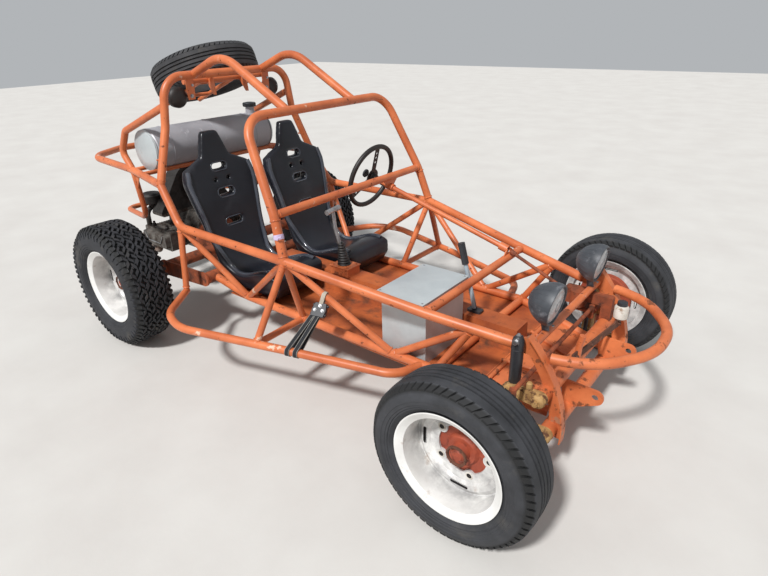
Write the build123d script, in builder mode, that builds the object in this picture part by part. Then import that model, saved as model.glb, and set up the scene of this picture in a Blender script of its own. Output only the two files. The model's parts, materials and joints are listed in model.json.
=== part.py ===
# Tube frame buggy with an open rear engine
# Sizes in millimetres: +X forward, +Y to the left, +Z up, wheels on the ground at Z 0
import os

from build123d import *

os.makedirs("parts", exist_ok=True)

# Overall sizes
WHEELBASE = 2200
FRONT_OVERHANG = 436
REAR_OVERHANG = 930
LENGTH = FRONT_OVERHANG + WHEELBASE + REAR_OVERHANG
AXLE_F = LENGTH / 2 - FRONT_OVERHANG
AXLE_R = AXLE_F - WHEELBASE
SIDES = (1, -1)

# Tubes
TUBE_R = 21
STRUT_R = 16
SIDE_BAR_R = 19
BEND = 75
WELD = 0.3

# Wheels
RIM_R = 207
BEAD_R = 190
FRONT_TYRE_R = 312
FRONT_TYRE_W = 190
FRONT_LIP_Y = 845
FRONT_RIM_W = 160
REAR_TYRE_R = 346
REAR_TYRE_W = 222
REAR_LIP_Y = 838
REAR_RIM_W = 178
FRONT_MID_Y = FRONT_LIP_Y - FRONT_RIM_W / 2
REAR_MID_Y = REAR_LIP_Y - REAR_RIM_W / 2
DISC_DEPTH = 112
HUB_BACK = DISC_DEPTH + 8 + 20 + 2 * WELD
LUG_CIRCLE_R = 102.5

# Heights and widths of the frame
RAIL_Y = 561
RAIL_Z = 694
NOSE_Z = 545
LOW_RAIL_Y = 415
LOW_RAIL_Z = 322
SIDE_BAR_Z = 348
FLOOR_Z = LOW_RAIL_Z - TUBE_R
DASH_Z = 886
HOOP_TOP_Z = 1270
HOOP_CORNER_Y = 485
HOOP_FOOT_Z = 890
REAR_HOOP_Z = 1405
LOOP_Y = 448
LOOP_Z = HOOP_FOOT_Z + 3
ROOF_Y = 228
BEAM_X = AXLE_F + 135
BEAM_HALF = 400
TOWER_Y = BEAM_HALF - 45
HOOP_BEND = 120
LOOP_BEND = 60
SIDE_BAR_BENDS = (110, 110, 250, 250)
BUMPER_BEND = 300

# Steering
KING_PIN_Y = BEAM_HALF + 120
ARM = 68
PITMAN_Y = 255
PITMAN_Z = 440
BALL_R = 13
ROD_Z_LEFT = PITMAN_Z - 4 - BALL_R - WELD
ROD_Z_RIGHT = PITMAN_Z + 4 + BALL_R + WELD


def fr(x, y, z):
    """a point measured back from the front axle"""
    return (AXLE_F + x, y, z)


def rear(x, y, z):
    """a point measured back from the rear axle"""
    return (AXLE_R + x, y, z)


def between(start, end, share):
    """the point at a share of the way from one station to another"""
    return tuple(a + (b - a) * share for a, b in zip(start, end))


# Stations of the left half of the frame, by name
STATION = {
    "tower": fr(-22, TOWER_Y, NOSE_Z),
    "lamp_bar": fr(48, TOWER_Y - 4.3, NOSE_Z),
    "cross": fr(-366, 431, NOSE_Z + 46),
    "foot": fr(-1020, RAIL_Y, RAIL_Z),
    "kink": rear(386, RAIL_Y, RAIL_Z),
    "rear_foot": rear(246, 545, HOOP_FOOT_Z),
    "dash": fr(-1083, 538, DASH_Z),
    "hoop_corner": fr(-1281, HOOP_CORNER_Y, HOOP_TOP_Z),
    "roof_front": fr(-1281, ROOF_Y, HOOP_TOP_Z),
    "roof_peak": rear(485, ROOF_Y, HOOP_TOP_Z + 238),
    "roof_rear": rear(215, ROOF_Y, REAR_HOOP_Z),
    "hoop_waist": rear(215, 440, REAR_HOOP_Z - 240),
    "rear_corner": rear(215, 403, REAR_HOOP_Z),
    "low_front": fr(124, TOWER_Y - 55, LOW_RAIL_Z - 60),
    "low_a": fr(-330, LOW_RAIL_Y - 13, LOW_RAIL_Z),
    "low_back": rear(689, LOW_RAIL_Y, LOW_RAIL_Z),
    "low_rear": rear(400, LOW_RAIL_Y, LOW_RAIL_Z + 50),
    "torsion": rear(400, LOW_RAIL_Y + 65, LOW_RAIL_Z + 50),
    "bar_bend": fr(-430, 545, SIDE_BAR_Z - 13),
    "bar_front": fr(-929, 700, SIDE_BAR_Z),
    "bar_wide": rear(730, 862, SIDE_BAR_Z),
    "bar_rear": rear(560, 815, SIDE_BAR_Z),
    "post_low": rear(370, 585, SIDE_BAR_Z - 13),
    "gusset": rear(-205, LOOP_Y, LOOP_Z),
    "loop_corner": rear(-770, 400, LOOP_Z),
    "loop_back": rear(-906, 150, LOOP_Z),
    "stay_knee": rear(-190, 450, LOOP_Z + 221),
    "stay_low": rear(-275, 450, LOOP_Z + 97),
    "cage_low": rear(-190, 430, LOOP_Z - 293),
    "cage_back": rear(-620, 330, LOOP_Z - 333),
}

# Stations on a tube between two others: name, from, to, share of the way
ON_TUBES = (
    ("strut_top", "tower", "cross", 0.445),
    ("low_start", "low_a", "low_back", 0.055),
    ("low_apex", "low_a", "low_back", 0.182),
    ("low_leg", "low_a", "low_back", 0.652),
    ("bar_mid", "bar_front", "bar_wide", 0.24),
    ("stay_top", "hoop_waist", "rear_corner", 0.44),
)
for name, start, end, share in ON_TUBES:
    STATION[name] = between(STATION[start], STATION[end], share)


def st(name, side):
    """a station on the left (1) or right (-1) side"""
    x, y, z = STATION[name]
    return Vector(x, y * side, z)


def rod(points, radius, bend=0, mode=Mode.ADD):
    """a round rod along the points with rounded corners, in the open part"""
    with BuildLine() as path:
        if bend:
            FilletPolyline(*points, radius=bend)
        else:
            Polyline(*points)
    with BuildSketch(Plane(origin=path.line @ 0, z_dir=path.line % 0)) as section:
        Circle(radius)
    sweep(section.sketch, path=path.line, mode=mode)


def upper_rail_points(side):
    names = ("tower", "cross", "foot", "kink", "rear_foot")
    return [st(name, side) for name in names]


def lower_rail_points(side):
    names = ("low_front", "low_a", "low_back", "low_rear")
    return [st(name, side) for name in names]


def both_sides(names):
    """points up the left side through the named stations and down the right side"""
    left = [st(name, 1) for name in names]
    return left + [st(name, -1) for name in reversed(names)]


def front_hoop_points():
    return both_sides(("foot", "dash", "hoop_corner"))


def rear_hoop_points():
    return both_sides(("rear_foot", "hoop_waist", "rear_corner"))


def side_bar_points(side):
    names = ("low_start", "bar_bend", "bar_front", "bar_wide", "bar_rear", "post_low")
    return [st(name, side) for name in names]


def rear_loop_points():
    return both_sides(("rear_foot", "gusset", "loop_corner", "loop_back"))


def cage_points():
    return both_sides(("gusset", "cage_low", "cage_back"))


def stay_points(side):
    names = ("stay_top", "stay_knee", "stay_low", "gusset")
    return [st(n, side) for n in names]


def cut_by(points, radius, bend=0):
    """take a round hollow along the points out of the open part"""
    rod(points, radius + WELD, bend, Mode.SUBTRACT)


def cut_by_rails(upper=True, lower=True):
    for side in SIDES:
        if upper:
            cut_by(upper_rail_points(side), TUBE_R, BEND)
        if lower:
            cut_by(lower_rail_points(side), TUBE_R, BEND)


def upright(y):
    """a plane facing right across the car, its own x forward and its own y up"""
    return Plane((0, y, 0), x_dir=(1, 0, 0), z_dir=(0, -1, 0))


# Upper rails
with BuildPart() as upper_rails:
    for side in SIDES:
        rod(upper_rail_points(side), TUBE_R, BEND)

# Lower rails
with BuildPart() as lower_rails:
    for side in SIDES:
        rod(lower_rail_points(side), TUBE_R, BEND)

# Front hoop, cut to sit on the upper rails
with BuildPart() as front_hoop:
    rod(front_hoop_points(), TUBE_R, HOOP_BEND)
    cut_by_rails(lower=False)

# Rear hoop, its feet on the ends of the upper rails
with BuildPart() as rear_hoop:
    rod(rear_hoop_points(), TUBE_R, HOOP_BEND)
    cut_by_rails(lower=False)

# Roof bars from the front hoop over the seats to the rear hoop
with BuildPart() as roof_bars:
    for side in SIDES:
        rod([st(n, side) for n in ("roof_front", "roof_peak", "roof_rear")], TUBE_R, 90)
    cut_by(front_hoop_points(), TUBE_R, HOOP_BEND)
    cut_by(rear_hoop_points(), TUBE_R, HOOP_BEND)

# Steering line: the column falls forward from the wheel, the shaft runs on to the box
COLUMN_Y = 280
COLUMN_R = 12
COLUMN_TOP = Vector(*fr(-1215, COLUMN_Y, 869))
COLUMN_END = Vector(*fr(-366, COLUMN_Y, NOSE_Z + 83))
SHAFT_END = Vector(*fr(-68, COLUMN_Y, 500))
COLUMN_DIR = (COLUMN_END - COLUMN_TOP).normalized()
SHAFT_DIR = (SHAFT_END - COLUMN_END).normalized()


def column_point(x):
    """the point of the column line at this x"""
    return COLUMN_TOP + COLUMN_DIR * ((x - COLUMN_TOP.X) / COLUMN_DIR.X)


# Straight cross tubes between the two sides, with the two plates that hold the column
CROSS_R = TUBE_R - 2
CROSS_TUBES = ("lamp_bar", "cross", "dash", "low_a", "low_back")
COLLAR_R = 20
COLLAR_L = 44
PLATE_T = 5

# Collars for the column: cross tube, shift along the column
COLLARS = (
    ("dash", 0),
    ("cross", -COLLAR_L / 2 - 4),
)
with BuildPart() as cross_tubes:
    for name in CROSS_TUBES:
        rod([st(name, 1), st(name, -1)], CROSS_R if name != "lamp_bar" else STRUT_R)
    for name, shift in COLLARS:
        x, _, z = STATION[name]
        middle = column_point(x) + COLUMN_DIR * shift
        rod([middle - COLUMN_DIR * COLLAR_L / 2, middle + COLUMN_DIR * COLLAR_L / 2], COLLAR_R)
        with BuildSketch(Plane.YZ.offset(x - PLATE_T / 2)):
            with BuildLine():
                Polyline(
                    (COLUMN_Y - 75, z),
                    (COLUMN_Y + 75, z),
                    (COLUMN_Y + COLLAR_R, middle.Z),
                    (COLUMN_Y - COLLAR_R, middle.Z),
                    close=True,
                )
            make_face()
        extrude(amount=PLATE_T)
        cut_by([middle - COLUMN_DIR * COLLAR_L, middle + COLUMN_DIR * COLLAR_L], COLUMN_R)
    cut_by_rails()
    cut_by(front_hoop_points(), TUBE_R, HOOP_BEND)

# Straight struts of each side: from, to
STRUTS = (
    ("foot", "bar_mid"),
    ("foot", "low_leg"),
    ("foot", "low_back"),
    ("foot", "low_apex"),
    ("strut_top", "low_apex"),
    ("strut_top", "low_a"),
    ("kink", "low_back"),
    ("kink", "post_low"),
    ("low_leg", "bar_mid"),
)
with BuildPart() as side_struts:
    for side in SIDES:
        for start, end in STRUTS:
            rod([st(start, side), st(end, side)], STRUT_R)
    cut_by_rails()
    for side in SIDES:
        cut_by(side_bar_points(side), SIDE_BAR_R, SIDE_BAR_BENDS)
    for name in ("low_back", "low_a"):
        cut_by([st(name, 1), st(name, -1)], CROSS_R)

# Side bars out to the width of the tyres
with BuildPart() as side_bars:
    for side in SIDES:
        rod(side_bar_points(side), SIDE_BAR_R, SIDE_BAR_BENDS)
    cut_by_rails(upper=False)

# Fuel tank sizes, needed for the bars it lies on
TANK_X = AXLE_R - 75
TANK_R = 116
TANK_L = 820
TANK_BAR_R = 12
TANK_BAR_X = 70
TANK_BAR_Z = LOOP_Z + 12
TANK_Z = TANK_BAR_Z + ((TANK_R + TANK_BAR_R + WELD) ** 2 - TANK_BAR_X**2) ** 0.5



def loop_y(x):
    """how far out the loop stands at this x, between its foot and the gusset"""
    start, end = STATION["rear_foot"], STATION["gusset"]
    return start[1] + (end[1] - start[1]) * (x - start[0]) / (end[0] - start[0])


# Rear frame: the loop round the engine, the cage under it and the bars for the tank
with BuildPart() as rear_frame:
    rod(rear_loop_points(), TUBE_R, LOOP_BEND)
    rod(cage_points(), STRUT_R, LOOP_BEND)
    for x in (TANK_X + TANK_BAR_X, TANK_X - TANK_BAR_X):
        rod([(x, loop_y(x), TANK_BAR_Z), (x, -loop_y(x), TANK_BAR_Z)], TANK_BAR_R)
    for side in SIDES:
        x, y, z = STATION["gusset"]
        with BuildSketch(upright(side * y)):
            with BuildLine():
                Polyline((x - 48, z), (x + 72, z), (x + 20, z - 105), close=True)
            make_face()
        extrude(amount=PLATE_T / 2, both=True)
    cut_by(rear_hoop_points(), TUBE_R, HOOP_BEND)
    cut_by_rails(lower=False)

# Stays from the rear hoop down to the rear loop
with BuildPart() as rear_stays:
    for side in SIDES:
        rod(stay_points(side), TUBE_R - 2, 50)
    cut_by(rear_hoop_points(), TUBE_R, HOOP_BEND)
    cut_by(rear_loop_points(), TUBE_R, LOOP_BEND)
    for side in SIDES:
        cut_by([st("gusset", side), st("cage_low", side)], STRUT_R)

# Bumper loop at the front
BUMPER_Z = NOSE_Z - 15
BUMPER = (
    fr(128, TOWER_Y - 1, BUMPER_Z),
    fr(160, TOWER_Y - 7, BUMPER_Z),
    fr(285, 300, BUMPER_Z),
    fr(416, 105, BUMPER_Z),
)


def bumper_points():
    left = [Vector(*p) for p in BUMPER]
    return left + [Vector(p.X, -p.Y, p.Z) for p in reversed(left)]


with BuildPart() as bumper_loop:
    rod(bumper_points(), TUBE_R - 1, BUMPER_BEND)

# Front beam: two cross tubes, a curved flanged tower at each side and two tow lugs
BEAM_R = 30
BEAM_TUBES = ((BEAM_X - 10, 385), (BEAM_X + 25, 240))
TOWER_T = 8
TOWER_W = 60
FLANGE_W = 38
FLANGE_T = 5
TOWER_SPINE = (
    fr(30, TOWER_Y, NOSE_Z + 40),
    fr(118, TOWER_Y, 468),
    fr(163, TOWER_Y, 367),
    fr(182, TOWER_Y, 205),
)
LUG_Y = 205
LUG_HOLE_R = 13
LUG_T = 10
LUG_X = fr(262, 0, 0)[0]
LUG_Z = 330
with BuildPart() as front_beam:
    for side in SIDES:
        with BuildLine() as spine:
            Spline(*[(x, side * y, z) for x, y, z in TOWER_SPINE])
        with BuildSketch(Plane(spine.line @ 0, x_dir=(0, 1, 0), z_dir=spine.line % 0)):
            Rectangle(TOWER_T, TOWER_W)
            with Locations((side * (FLANGE_W - TOWER_T) / 2, (TOWER_W - FLANGE_T) / 2)):
                Rectangle(FLANGE_W, FLANGE_T)
        sweep(path=spine.line)
        x, y, z = STATION["tower"]
        with BuildSketch(upright(side * TOWER_Y)):
            with BuildLine():
                Polyline(
                    (x + WELD, z - 22),
                    (x + WELD, z + 22),
                    (x + 52, z + 40),
                    (x + 90, z - 30),
                    close=True,
                )
            make_face()
        extrude(amount=TOWER_T / 2, both=True)
        with BuildSketch(upright(side * LUG_Y)):
            with Locations((LUG_X, LUG_Z)):
                Circle(32)
            with Locations((BEAM_TUBES[0][0] + 20, LUG_Z + 20), (BEAM_TUBES[1][0], LUG_Z - 70)):
                Circle(16)
            make_hull()
            with Locations((LUG_X, LUG_Z)):
                Circle(LUG_HOLE_R, mode=Mode.SUBTRACT)
        extrude(amount=LUG_T / 2, both=True)
    for x, z in BEAM_TUBES:
        rod([(x, BEAM_HALF, z), (x, -BEAM_HALF, z)], BEAM_R)
    cut_by_rails()
    cut_by(bumper_points(), TUBE_R - 1, 70)

# Trailing arms, tapering back from the beam to the carriers of the king pins
ARM_W = 26
CARRIER_W = 56
CARRIER_TOP = 388
CARRIER_LOW = 212
KING_PIN_R = 22
with BuildPart() as trailing_arms:
    for side in SIDES:
        arm_y = side * (BEAM_HALF + ARM_W / 2 + WELD)
        for x, z in BEAM_TUBES:
            with BuildSketch(upright(arm_y)):
                with Locations((x, z)):
                    Circle(29)
                with Locations((AXLE_F, z)):
                    Circle(20)
                make_hull()
            extrude(amount=ARM_W / 2, both=True)
            rod([(AXLE_F, arm_y, z), (AXLE_F, side * (KING_PIN_Y - 40), z)], 18)
        carrier_y = side * (KING_PIN_Y - KING_PIN_R - WELD - CARRIER_W / 2)
        with BuildSketch(Plane((AXLE_F, carrier_y, CARRIER_LOW))) as foot_of_carrier:
            RectangleRounded(46, CARRIER_W, 8)
        extrude(amount=CARRIER_TOP - CARRIER_LOW)

# Front shock absorbers, upright behind the towers
SHOCK_R = 21
SHOCK_Y = BEAM_HALF - 12
SHOCK_TOP = NOSE_Z + 38
SHOCK_LOW = BEAM_TUBES[1][1] + 10
with BuildPart() as front_shocks:
    for side in SIDES:
        y = side * SHOCK_Y
        rod([fr(14, y, SHOCK_TOP + 14), fr(14, y, SHOCK_LOW - 12)], 9)
        rod([fr(14, y, SHOCK_LOW), fr(14, side * BEAM_HALF, SHOCK_LOW)], 8)
        rod([fr(14, y, SHOCK_TOP), fr(14, side * (TOWER_Y + TOWER_T / 2 + WELD), SHOCK_TOP)], 7)
        with BuildSketch(upright(y)):
            with BuildLine():
                x = AXLE_F + 14
                Polyline(
                    (x, SHOCK_TOP - 8),
                    (x + 14, SHOCK_TOP - 8),
                    (x + SHOCK_R, SHOCK_TOP - 20),
                    (x + SHOCK_R, SHOCK_TOP - 105),
                    (x + SHOCK_R - 3, SHOCK_TOP - 107),
                    (x + SHOCK_R - 3, SHOCK_TOP - 160),
                    (x + 14, SHOCK_TOP - 168),
                    (x, SHOCK_TOP - 168),
                    close=True,
                )
            make_face()
        revolve(axis=Axis((AXLE_F + 14, y, 0), (0, 0, 1)))
    cut_by_rails(lower=False)

# Front knuckles: king pin barrel, stub axle and a tapered steering arm
STUB_END_Y = FRONT_LIP_Y - HUB_BACK


def knuckle(side, arm_top):
    """the steered knuckle of one side"""
    with BuildPart() as piece:
        with Locations((AXLE_F, side * KING_PIN_Y, FRONT_TYRE_R + 16)):
            Cylinder(KING_PIN_R, 236)
        with BuildSketch(Plane((AXLE_F, side * KING_PIN_Y, FRONT_TYRE_R), z_dir=(0, side, 0))):
            Circle(34)
        with BuildSketch(Plane((AXLE_F, side * (KING_PIN_Y + 80), FRONT_TYRE_R), z_dir=(0, side, 0))):
            Circle(24)
        loft()
        rod([fr(0, side * KING_PIN_Y, FRONT_TYRE_R), fr(0, side * STUB_END_Y, FRONT_TYRE_R)], 22)
        with BuildSketch(Plane((AXLE_F, side * KING_PIN_Y, arm_top - 14))):
            Circle(20)
            with Locations((ARM, 0)):
                Circle(13)
            make_hull()
        extrude(amount=14)
    return piece


knuckle_left = knuckle(1, ROD_Z_LEFT - BALL_R - WELD)
knuckle_right = knuckle(-1, ROD_Z_RIGHT - BALL_R - WELD)


# Tyres, rims and drums, each turned about its axle
def tyre(x, mid_y, radius, width, rim_w):
    """one tyre with rounded shoulders, its axle along Y"""
    half = width / 2
    seat = rim_w / 2 - 13
    with BuildPart() as piece:
        with BuildSketch(Plane.YZ.offset(x)):
            with BuildLine():
                Polyline(
                    (mid_y - half + 10, 2 * radius - 26),
                    (mid_y - half, BEAD_R + 62 + radius),
                    (mid_y - half + 6, BEAD_R + 36 + radius),
                    (mid_y - seat, BEAD_R + 19 + radius),
                    (mid_y - seat, BEAD_R + radius),
                    (mid_y + seat, BEAD_R + radius),
                    (mid_y + seat, BEAD_R + 19 + radius),
                    (mid_y + half - 6, BEAD_R + 36 + radius),
                    (mid_y + half, BEAD_R + 62 + radius),
                    (mid_y + half - 10, 2 * radius - 26),
                    (mid_y + half - 30, 2 * radius - 6),
                    (mid_y + half / 3, 2 * radius),
                    (mid_y - half / 3, 2 * radius),
                    (mid_y - half + 30, 2 * radius - 6),
                    close=True,
                )
            make_face()
        revolve(axis=Axis((x, 0, radius), (0, 1, 0)))
    return piece


DISC_OPEN_R = 94
LOBE_R = 23
LUGS = 5
LUG_START = 18
VENT_R = 146
VENTS = 4


def rim(x, lip_y, radius, width):
    """one steel wheel: a deep dish, an opening with a lobe at each lug hole, and vents"""
    back = lip_y - DISC_DEPTH - 8
    with BuildPart() as piece:
        with BuildSketch(Plane.YZ.offset(x)):
            with BuildLine():
                Polyline(
                    (lip_y, RIM_R + radius),
                    (lip_y - 12, BEAD_R - 1 + radius),
                    (lip_y - width + 12, BEAD_R - 1 + radius),
                    (lip_y - width, RIM_R + radius),
                    (lip_y - width, RIM_R - 5 + radius),
                    (lip_y - width + 14, BEAD_R - 12 + radius),
                    (back, BEAD_R - 12 + radius),
                    (back, LUG_CIRCLE_R - LOBE_R + radius),
                    (back + 8, LUG_CIRCLE_R - LOBE_R + radius),
                    (back + 8, 128 + radius),
                    (back + 20, 136 + radius),
                    (back + 20, 156 + radius),
                    (back + 8, BEAD_R - 12 + radius),
                    (lip_y - 14, BEAD_R - 12 + radius),
                    (lip_y, RIM_R - 5 + radius),
                    close=True,
                )
            make_face()
        revolve(axis=Axis((x, 0, radius), (0, 1, 0)))
        with BuildSketch(Plane((x, back - 1, radius), x_dir=(0, 0, 1), z_dir=(0, 1, 0))):
            Circle(DISC_OPEN_R)
            with PolarLocations(LUG_CIRCLE_R, LUGS, start_angle=LUG_START):
                Circle(LOBE_R, mode=Mode.SUBTRACT)
            with PolarLocations(LUG_CIRCLE_R, LUGS, start_angle=LUG_START):
                Circle(8)
            with PolarLocations(VENT_R, VENTS):
                SlotOverall(70, 13, rotation=90)
        extrude(amount=26, mode=Mode.SUBTRACT)
    return piece


def drum(x, lip_y, radius):
    """one brake drum with its hub and a raised cap"""
    face_y = lip_y - DISC_DEPTH - 8 - WELD
    with BuildPart() as piece:
        with BuildSketch(Plane.YZ.offset(x)):
            with BuildLine():
                Polyline(
                    (face_y - 60, 26 + radius),
                    (face_y - 60, 128 + radius),
                    (face_y - 52, 132 + radius),
                    (face_y - 44, 128 + radius),
                    (face_y - 12, 128 + radius),
                    (face_y, 116 + radius),
                    (face_y, 62 + radius),
                    (face_y + 14, 52 + radius),
                    (face_y + 14, 34 + radius),
                    (face_y + 36, 29 + radius),
                    (face_y + 46, 18 + radius),
                    (face_y + 48, radius),
                    (face_y - 20, radius),
                    (face_y - 20, 26 + radius),
                    close=True,
                )
            make_face()
        revolve(axis=Axis((x, 0, radius), (0, 1, 0)))
    return piece


# Wheels: end, axle x, middle y, lip y, tyre radius, tyre width, rim width
WHEELS = (
    ("front", AXLE_F, FRONT_MID_Y, FRONT_LIP_Y, FRONT_TYRE_R, FRONT_TYRE_W, FRONT_RIM_W),
    ("rear", AXLE_R, REAR_MID_Y, REAR_LIP_Y, REAR_TYRE_R, REAR_TYRE_W, REAR_RIM_W),
)
wheel_parts = {}
for end, x, mid_y, lip_y, radius, width, rim_w in WHEELS:
    pieces = {
        "tyre": tyre(x, mid_y, radius, width, rim_w).part,
        "rim": rim(x, lip_y, radius, rim_w).part,
        "drum": drum(x, lip_y, radius).part,
    }
    for kind, solid in pieces.items():
        wheel_parts[f"{kind}_{end}_left"] = solid
        wheel_parts[f"{kind}_{end}_right"] = mirror(solid, about=Plane.XZ)

# Steering wheel with three spokes and the column behind it
WHEEL_R = 170
GRIP_R = 13
WHEEL_PLANE = Plane(COLUMN_TOP, x_dir=(0, 1, 0), z_dir=COLUMN_DIR)
with BuildPart() as steering_wheel:
    with BuildLine(WHEEL_PLANE) as ring:
        CenterArc((0, 0), WHEEL_R, 0, 360)
    with BuildSketch(Plane(origin=ring.line @ 0, z_dir=ring.line % 0)):
        Circle(GRIP_R)
    sweep()
    with BuildSketch(WHEEL_PLANE.offset(4)):
        Circle(44)
        with PolarLocations(0, 3, start_angle=90):
            with Locations((WHEEL_R / 2, 0)):
                Rectangle(WHEEL_R, 30)
        with PolarLocations(0, 3, start_angle=90):
            with Locations((WHEEL_R * 0.5, 0), (WHEEL_R * 0.66, 0), (WHEEL_R * 0.8, 0)):
                Circle(7, mode=Mode.SUBTRACT)
    extrude(amount=5)
    with BuildSketch(WHEEL_PLANE.offset(6)):
        Circle(26)
    extrude(amount=30, taper=12)
    rod([COLUMN_TOP + COLUMN_DIR * 10, COLUMN_END - COLUMN_DIR * 6], COLUMN_R)

with BuildPart() as steering_shaft:
    rod([COLUMN_END + SHAFT_DIR * 14, SHAFT_END], 8)
    rod([COLUMN_END + SHAFT_DIR * 14, COLUMN_END + SHAFT_DIR * 40], 12)

# Steering box behind the beam with the shaft of the pitman arm below it
BOX_X = SHAFT_END.X + 51
BOX_H = 74
BOX_FLOOR_Z = SHAFT_END.Z - 10 - BOX_H / 2
SECTOR_R = 34
with BuildPart() as steering_box:
    with BuildSketch(Plane((BOX_X, COLUMN_Y - 12, BOX_FLOOR_Z))):
        with Locations((AXLE_F - BOX_X, PITMAN_Y - COLUMN_Y + 12)):
            Circle(SECTOR_R)
        with Locations((0, 14)):
            RectangleRounded(95, 46, 12)
    extrude(amount=BOX_H)
    with BuildSketch(Plane((AXLE_F + 88, COLUMN_Y + 7, 495), x_dir=(1, 0, 0), z_dir=(0, -1, 0))):
        RectangleRounded(118, 46, 10)
    extrude(amount=18, both=True)
    with BuildSketch(Plane((AXLE_F + 124, COLUMN_Y + 7, 445), x_dir=(1, 0, 0), z_dir=(0, -1, 0))):
        RectangleRounded(46, 90, 6)
    extrude(amount=18, both=True)
    x, z = BEAM_TUBES[0]
    cut_by([(x, BEAM_HALF, z), (x, -BEAM_HALF, z)], BEAM_R)

with BuildPart() as pitman_arm:
    with BuildSketch(Plane((AXLE_F, PITMAN_Y, PITMAN_Z - 4))):
        Circle(17)
        with Locations((ARM, 0)):
            Circle(13)
        make_hull()
    extrude(amount=8)
    with Locations((AXLE_F, PITMAN_Y, (PITMAN_Z + BOX_FLOOR_Z - WELD) / 2)):
        Cylinder(10, BOX_FLOOR_Z - WELD - PITMAN_Z)


def tie_rod(end_y, z):
    """one tie rod with a round eye at each end"""
    with BuildPart() as piece:
        rod([fr(ARM, PITMAN_Y, z), fr(ARM, end_y, z)], 9)
        with Locations(fr(ARM, PITMAN_Y, z), fr(ARM, end_y, z)):
            Cylinder(BALL_R, 2 * BALL_R)
    return piece


tie_rod_left = tie_rod(KING_PIN_Y, ROD_Z_LEFT)
tie_rod_right = tie_rod(-KING_PIN_Y, ROD_Z_RIGHT)

# Floor pan with the centre tunnel
TUNNEL_W = 130
TUNNEL_H = 110
PAN_T = 4
PAN_FRONT_X = STATION["low_a"][0] + 190
PAN_BACK_X = STATION["low_back"][0] - 160
with BuildPart() as floor_pan:
    with BuildSketch(Plane.YZ.offset(PAN_BACK_X)):
        with BuildLine():
            top = FLOOR_Z - WELD
            Polyline(
                (-LOW_RAIL_Y, top - PAN_T),
                (LOW_RAIL_Y, top - PAN_T),
                (LOW_RAIL_Y, top),
                (TUNNEL_W / 2, top),
                (TUNNEL_W / 2 - 12, top + TUNNEL_H),
                (-TUNNEL_W / 2 + 12, top + TUNNEL_H),
                (-TUNNEL_W / 2, top),
                (-LOW_RAIL_Y, top),
                close=True,
            )
        make_face()
    extrude(amount=PAN_FRONT_X - PAN_BACK_X)
    cut_by_rails(upper=False)
    for name in ("low_a", "low_back"):
        cut_by([st(name, 1), st(name, -1)], CROSS_R)

# Bucket seats: a padded shell with raised sides, cut to its outline from the front
SEAT_Y = 233
SEAT_REACH = {1: 985, -1: 890}
SEAT_Z = LOW_RAIL_Z + CROSS_R + WELD
SEAT_TOP = SEAT_Z + 795
SEAT_W = 310
SHOULDER_W = 446
HEAD_W = 150
BOLSTER_W = 42
SEAT_HOLE_R = 11

# Slots through the back of a seat: height above its base, width, height
SEAT_SLOTS = (
    (600, 84, 30),
    (464, 92, 34),
    (308, 96, 30),
)


def seat_face(front, raised):
    """points up the face of the shell, further out for the raised sides"""
    return (
        (front - 30, SEAT_Z + 139),
        (front - 150, SEAT_Z + 118 + raised * 24),
        (front - 330, SEAT_Z + 78 + raised * 85),
        (front - 425 + raised * 70, SEAT_Z + 150 + raised * 75),
        (front - 500 + raised * 85, SEAT_Z + 380),
        (front - 550 + raised * 50, SEAT_Z + 560),
        (front - 600, SEAT_TOP - 6),
    )


def seat_outline(centre, shrink):
    """outline of the shell from the front: base, waist, shoulders and head"""
    half = (
        (SEAT_W / 2 - shrink, SEAT_Z - 20),
        (SEAT_W / 2 - shrink, SEAT_Z + 200),
        (SEAT_W / 2 + 18 - shrink, SEAT_Z + 320),
        (SHOULDER_W / 2 - shrink, SEAT_Z + 530),
        (SHOULDER_W / 2 - 14 - shrink, SEAT_Z + 600),
        (HEAD_W / 2 + 16 - shrink, SEAT_Z + 655),
        (HEAD_W / 2 - shrink / 2, SEAT_Z + 710),
        (HEAD_W / 2 - 26 - shrink / 2, SEAT_TOP - 10 + 2 * shrink),
    )
    left = [(centre + y, z) for y, z in half]
    right = [(centre - y, z) for y, z in reversed(half)]
    return left + right


def seat(side):
    """one bucket seat"""
    centre = side * SEAT_Y
    front = AXLE_R + SEAT_REACH[side]
    deep = front - 900
    with BuildPart() as piece:
        for raised in (1, 0):
            with BuildSketch(upright(centre)):
                with BuildLine():
                    back = Polyline(
                        (front - 646, SEAT_TOP),
                        (front - 588, SEAT_Z + 490),
                        (front - 440, SEAT_Z + 80),
                        (front - 400, SEAT_Z),
                        (front - 10, SEAT_Z),
                        (front + 26, SEAT_Z + 60),
                        (front + 14, SEAT_Z + 120),
                    )
                    face = Spline(back @ 1, *seat_face(front, raised))
                    Line(face @ 1, back @ 0)
                make_face()
            extrude(amount=SHOULDER_W, both=True)
            if raised:
                with BuildSketch(Plane.YZ.offset(deep)):
                    with BuildLine():
                        Polyline(*seat_outline(centre, BOLSTER_W), close=True)
                    make_face()
                extrude(amount=1200, mode=Mode.SUBTRACT)
        with BuildSketch(Plane.YZ.offset(deep)) as outline:
            with BuildLine():
                Polyline(*seat_outline(centre, 0), close=True)
            make_face()
            fillet(outline.vertices(), radius=18)
        extrude(amount=1200, mode=Mode.INTERSECT)
        with BuildSketch(Plane.YZ.offset(deep)):
            for height, width, tall in SEAT_SLOTS:
                with Locations((centre, SEAT_Z + height)):
                    RectangleRounded(width, tall, 10)
            with Locations((centre - 42, SEAT_Z + 532), (centre + 42, SEAT_Z + 532)):
                Circle(SEAT_HOLE_R)
        extrude(amount=1200, mode=Mode.SUBTRACT)
    return piece


with BuildPart() as seats:
    for side in SIDES:
        add(seat(side).part)

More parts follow.
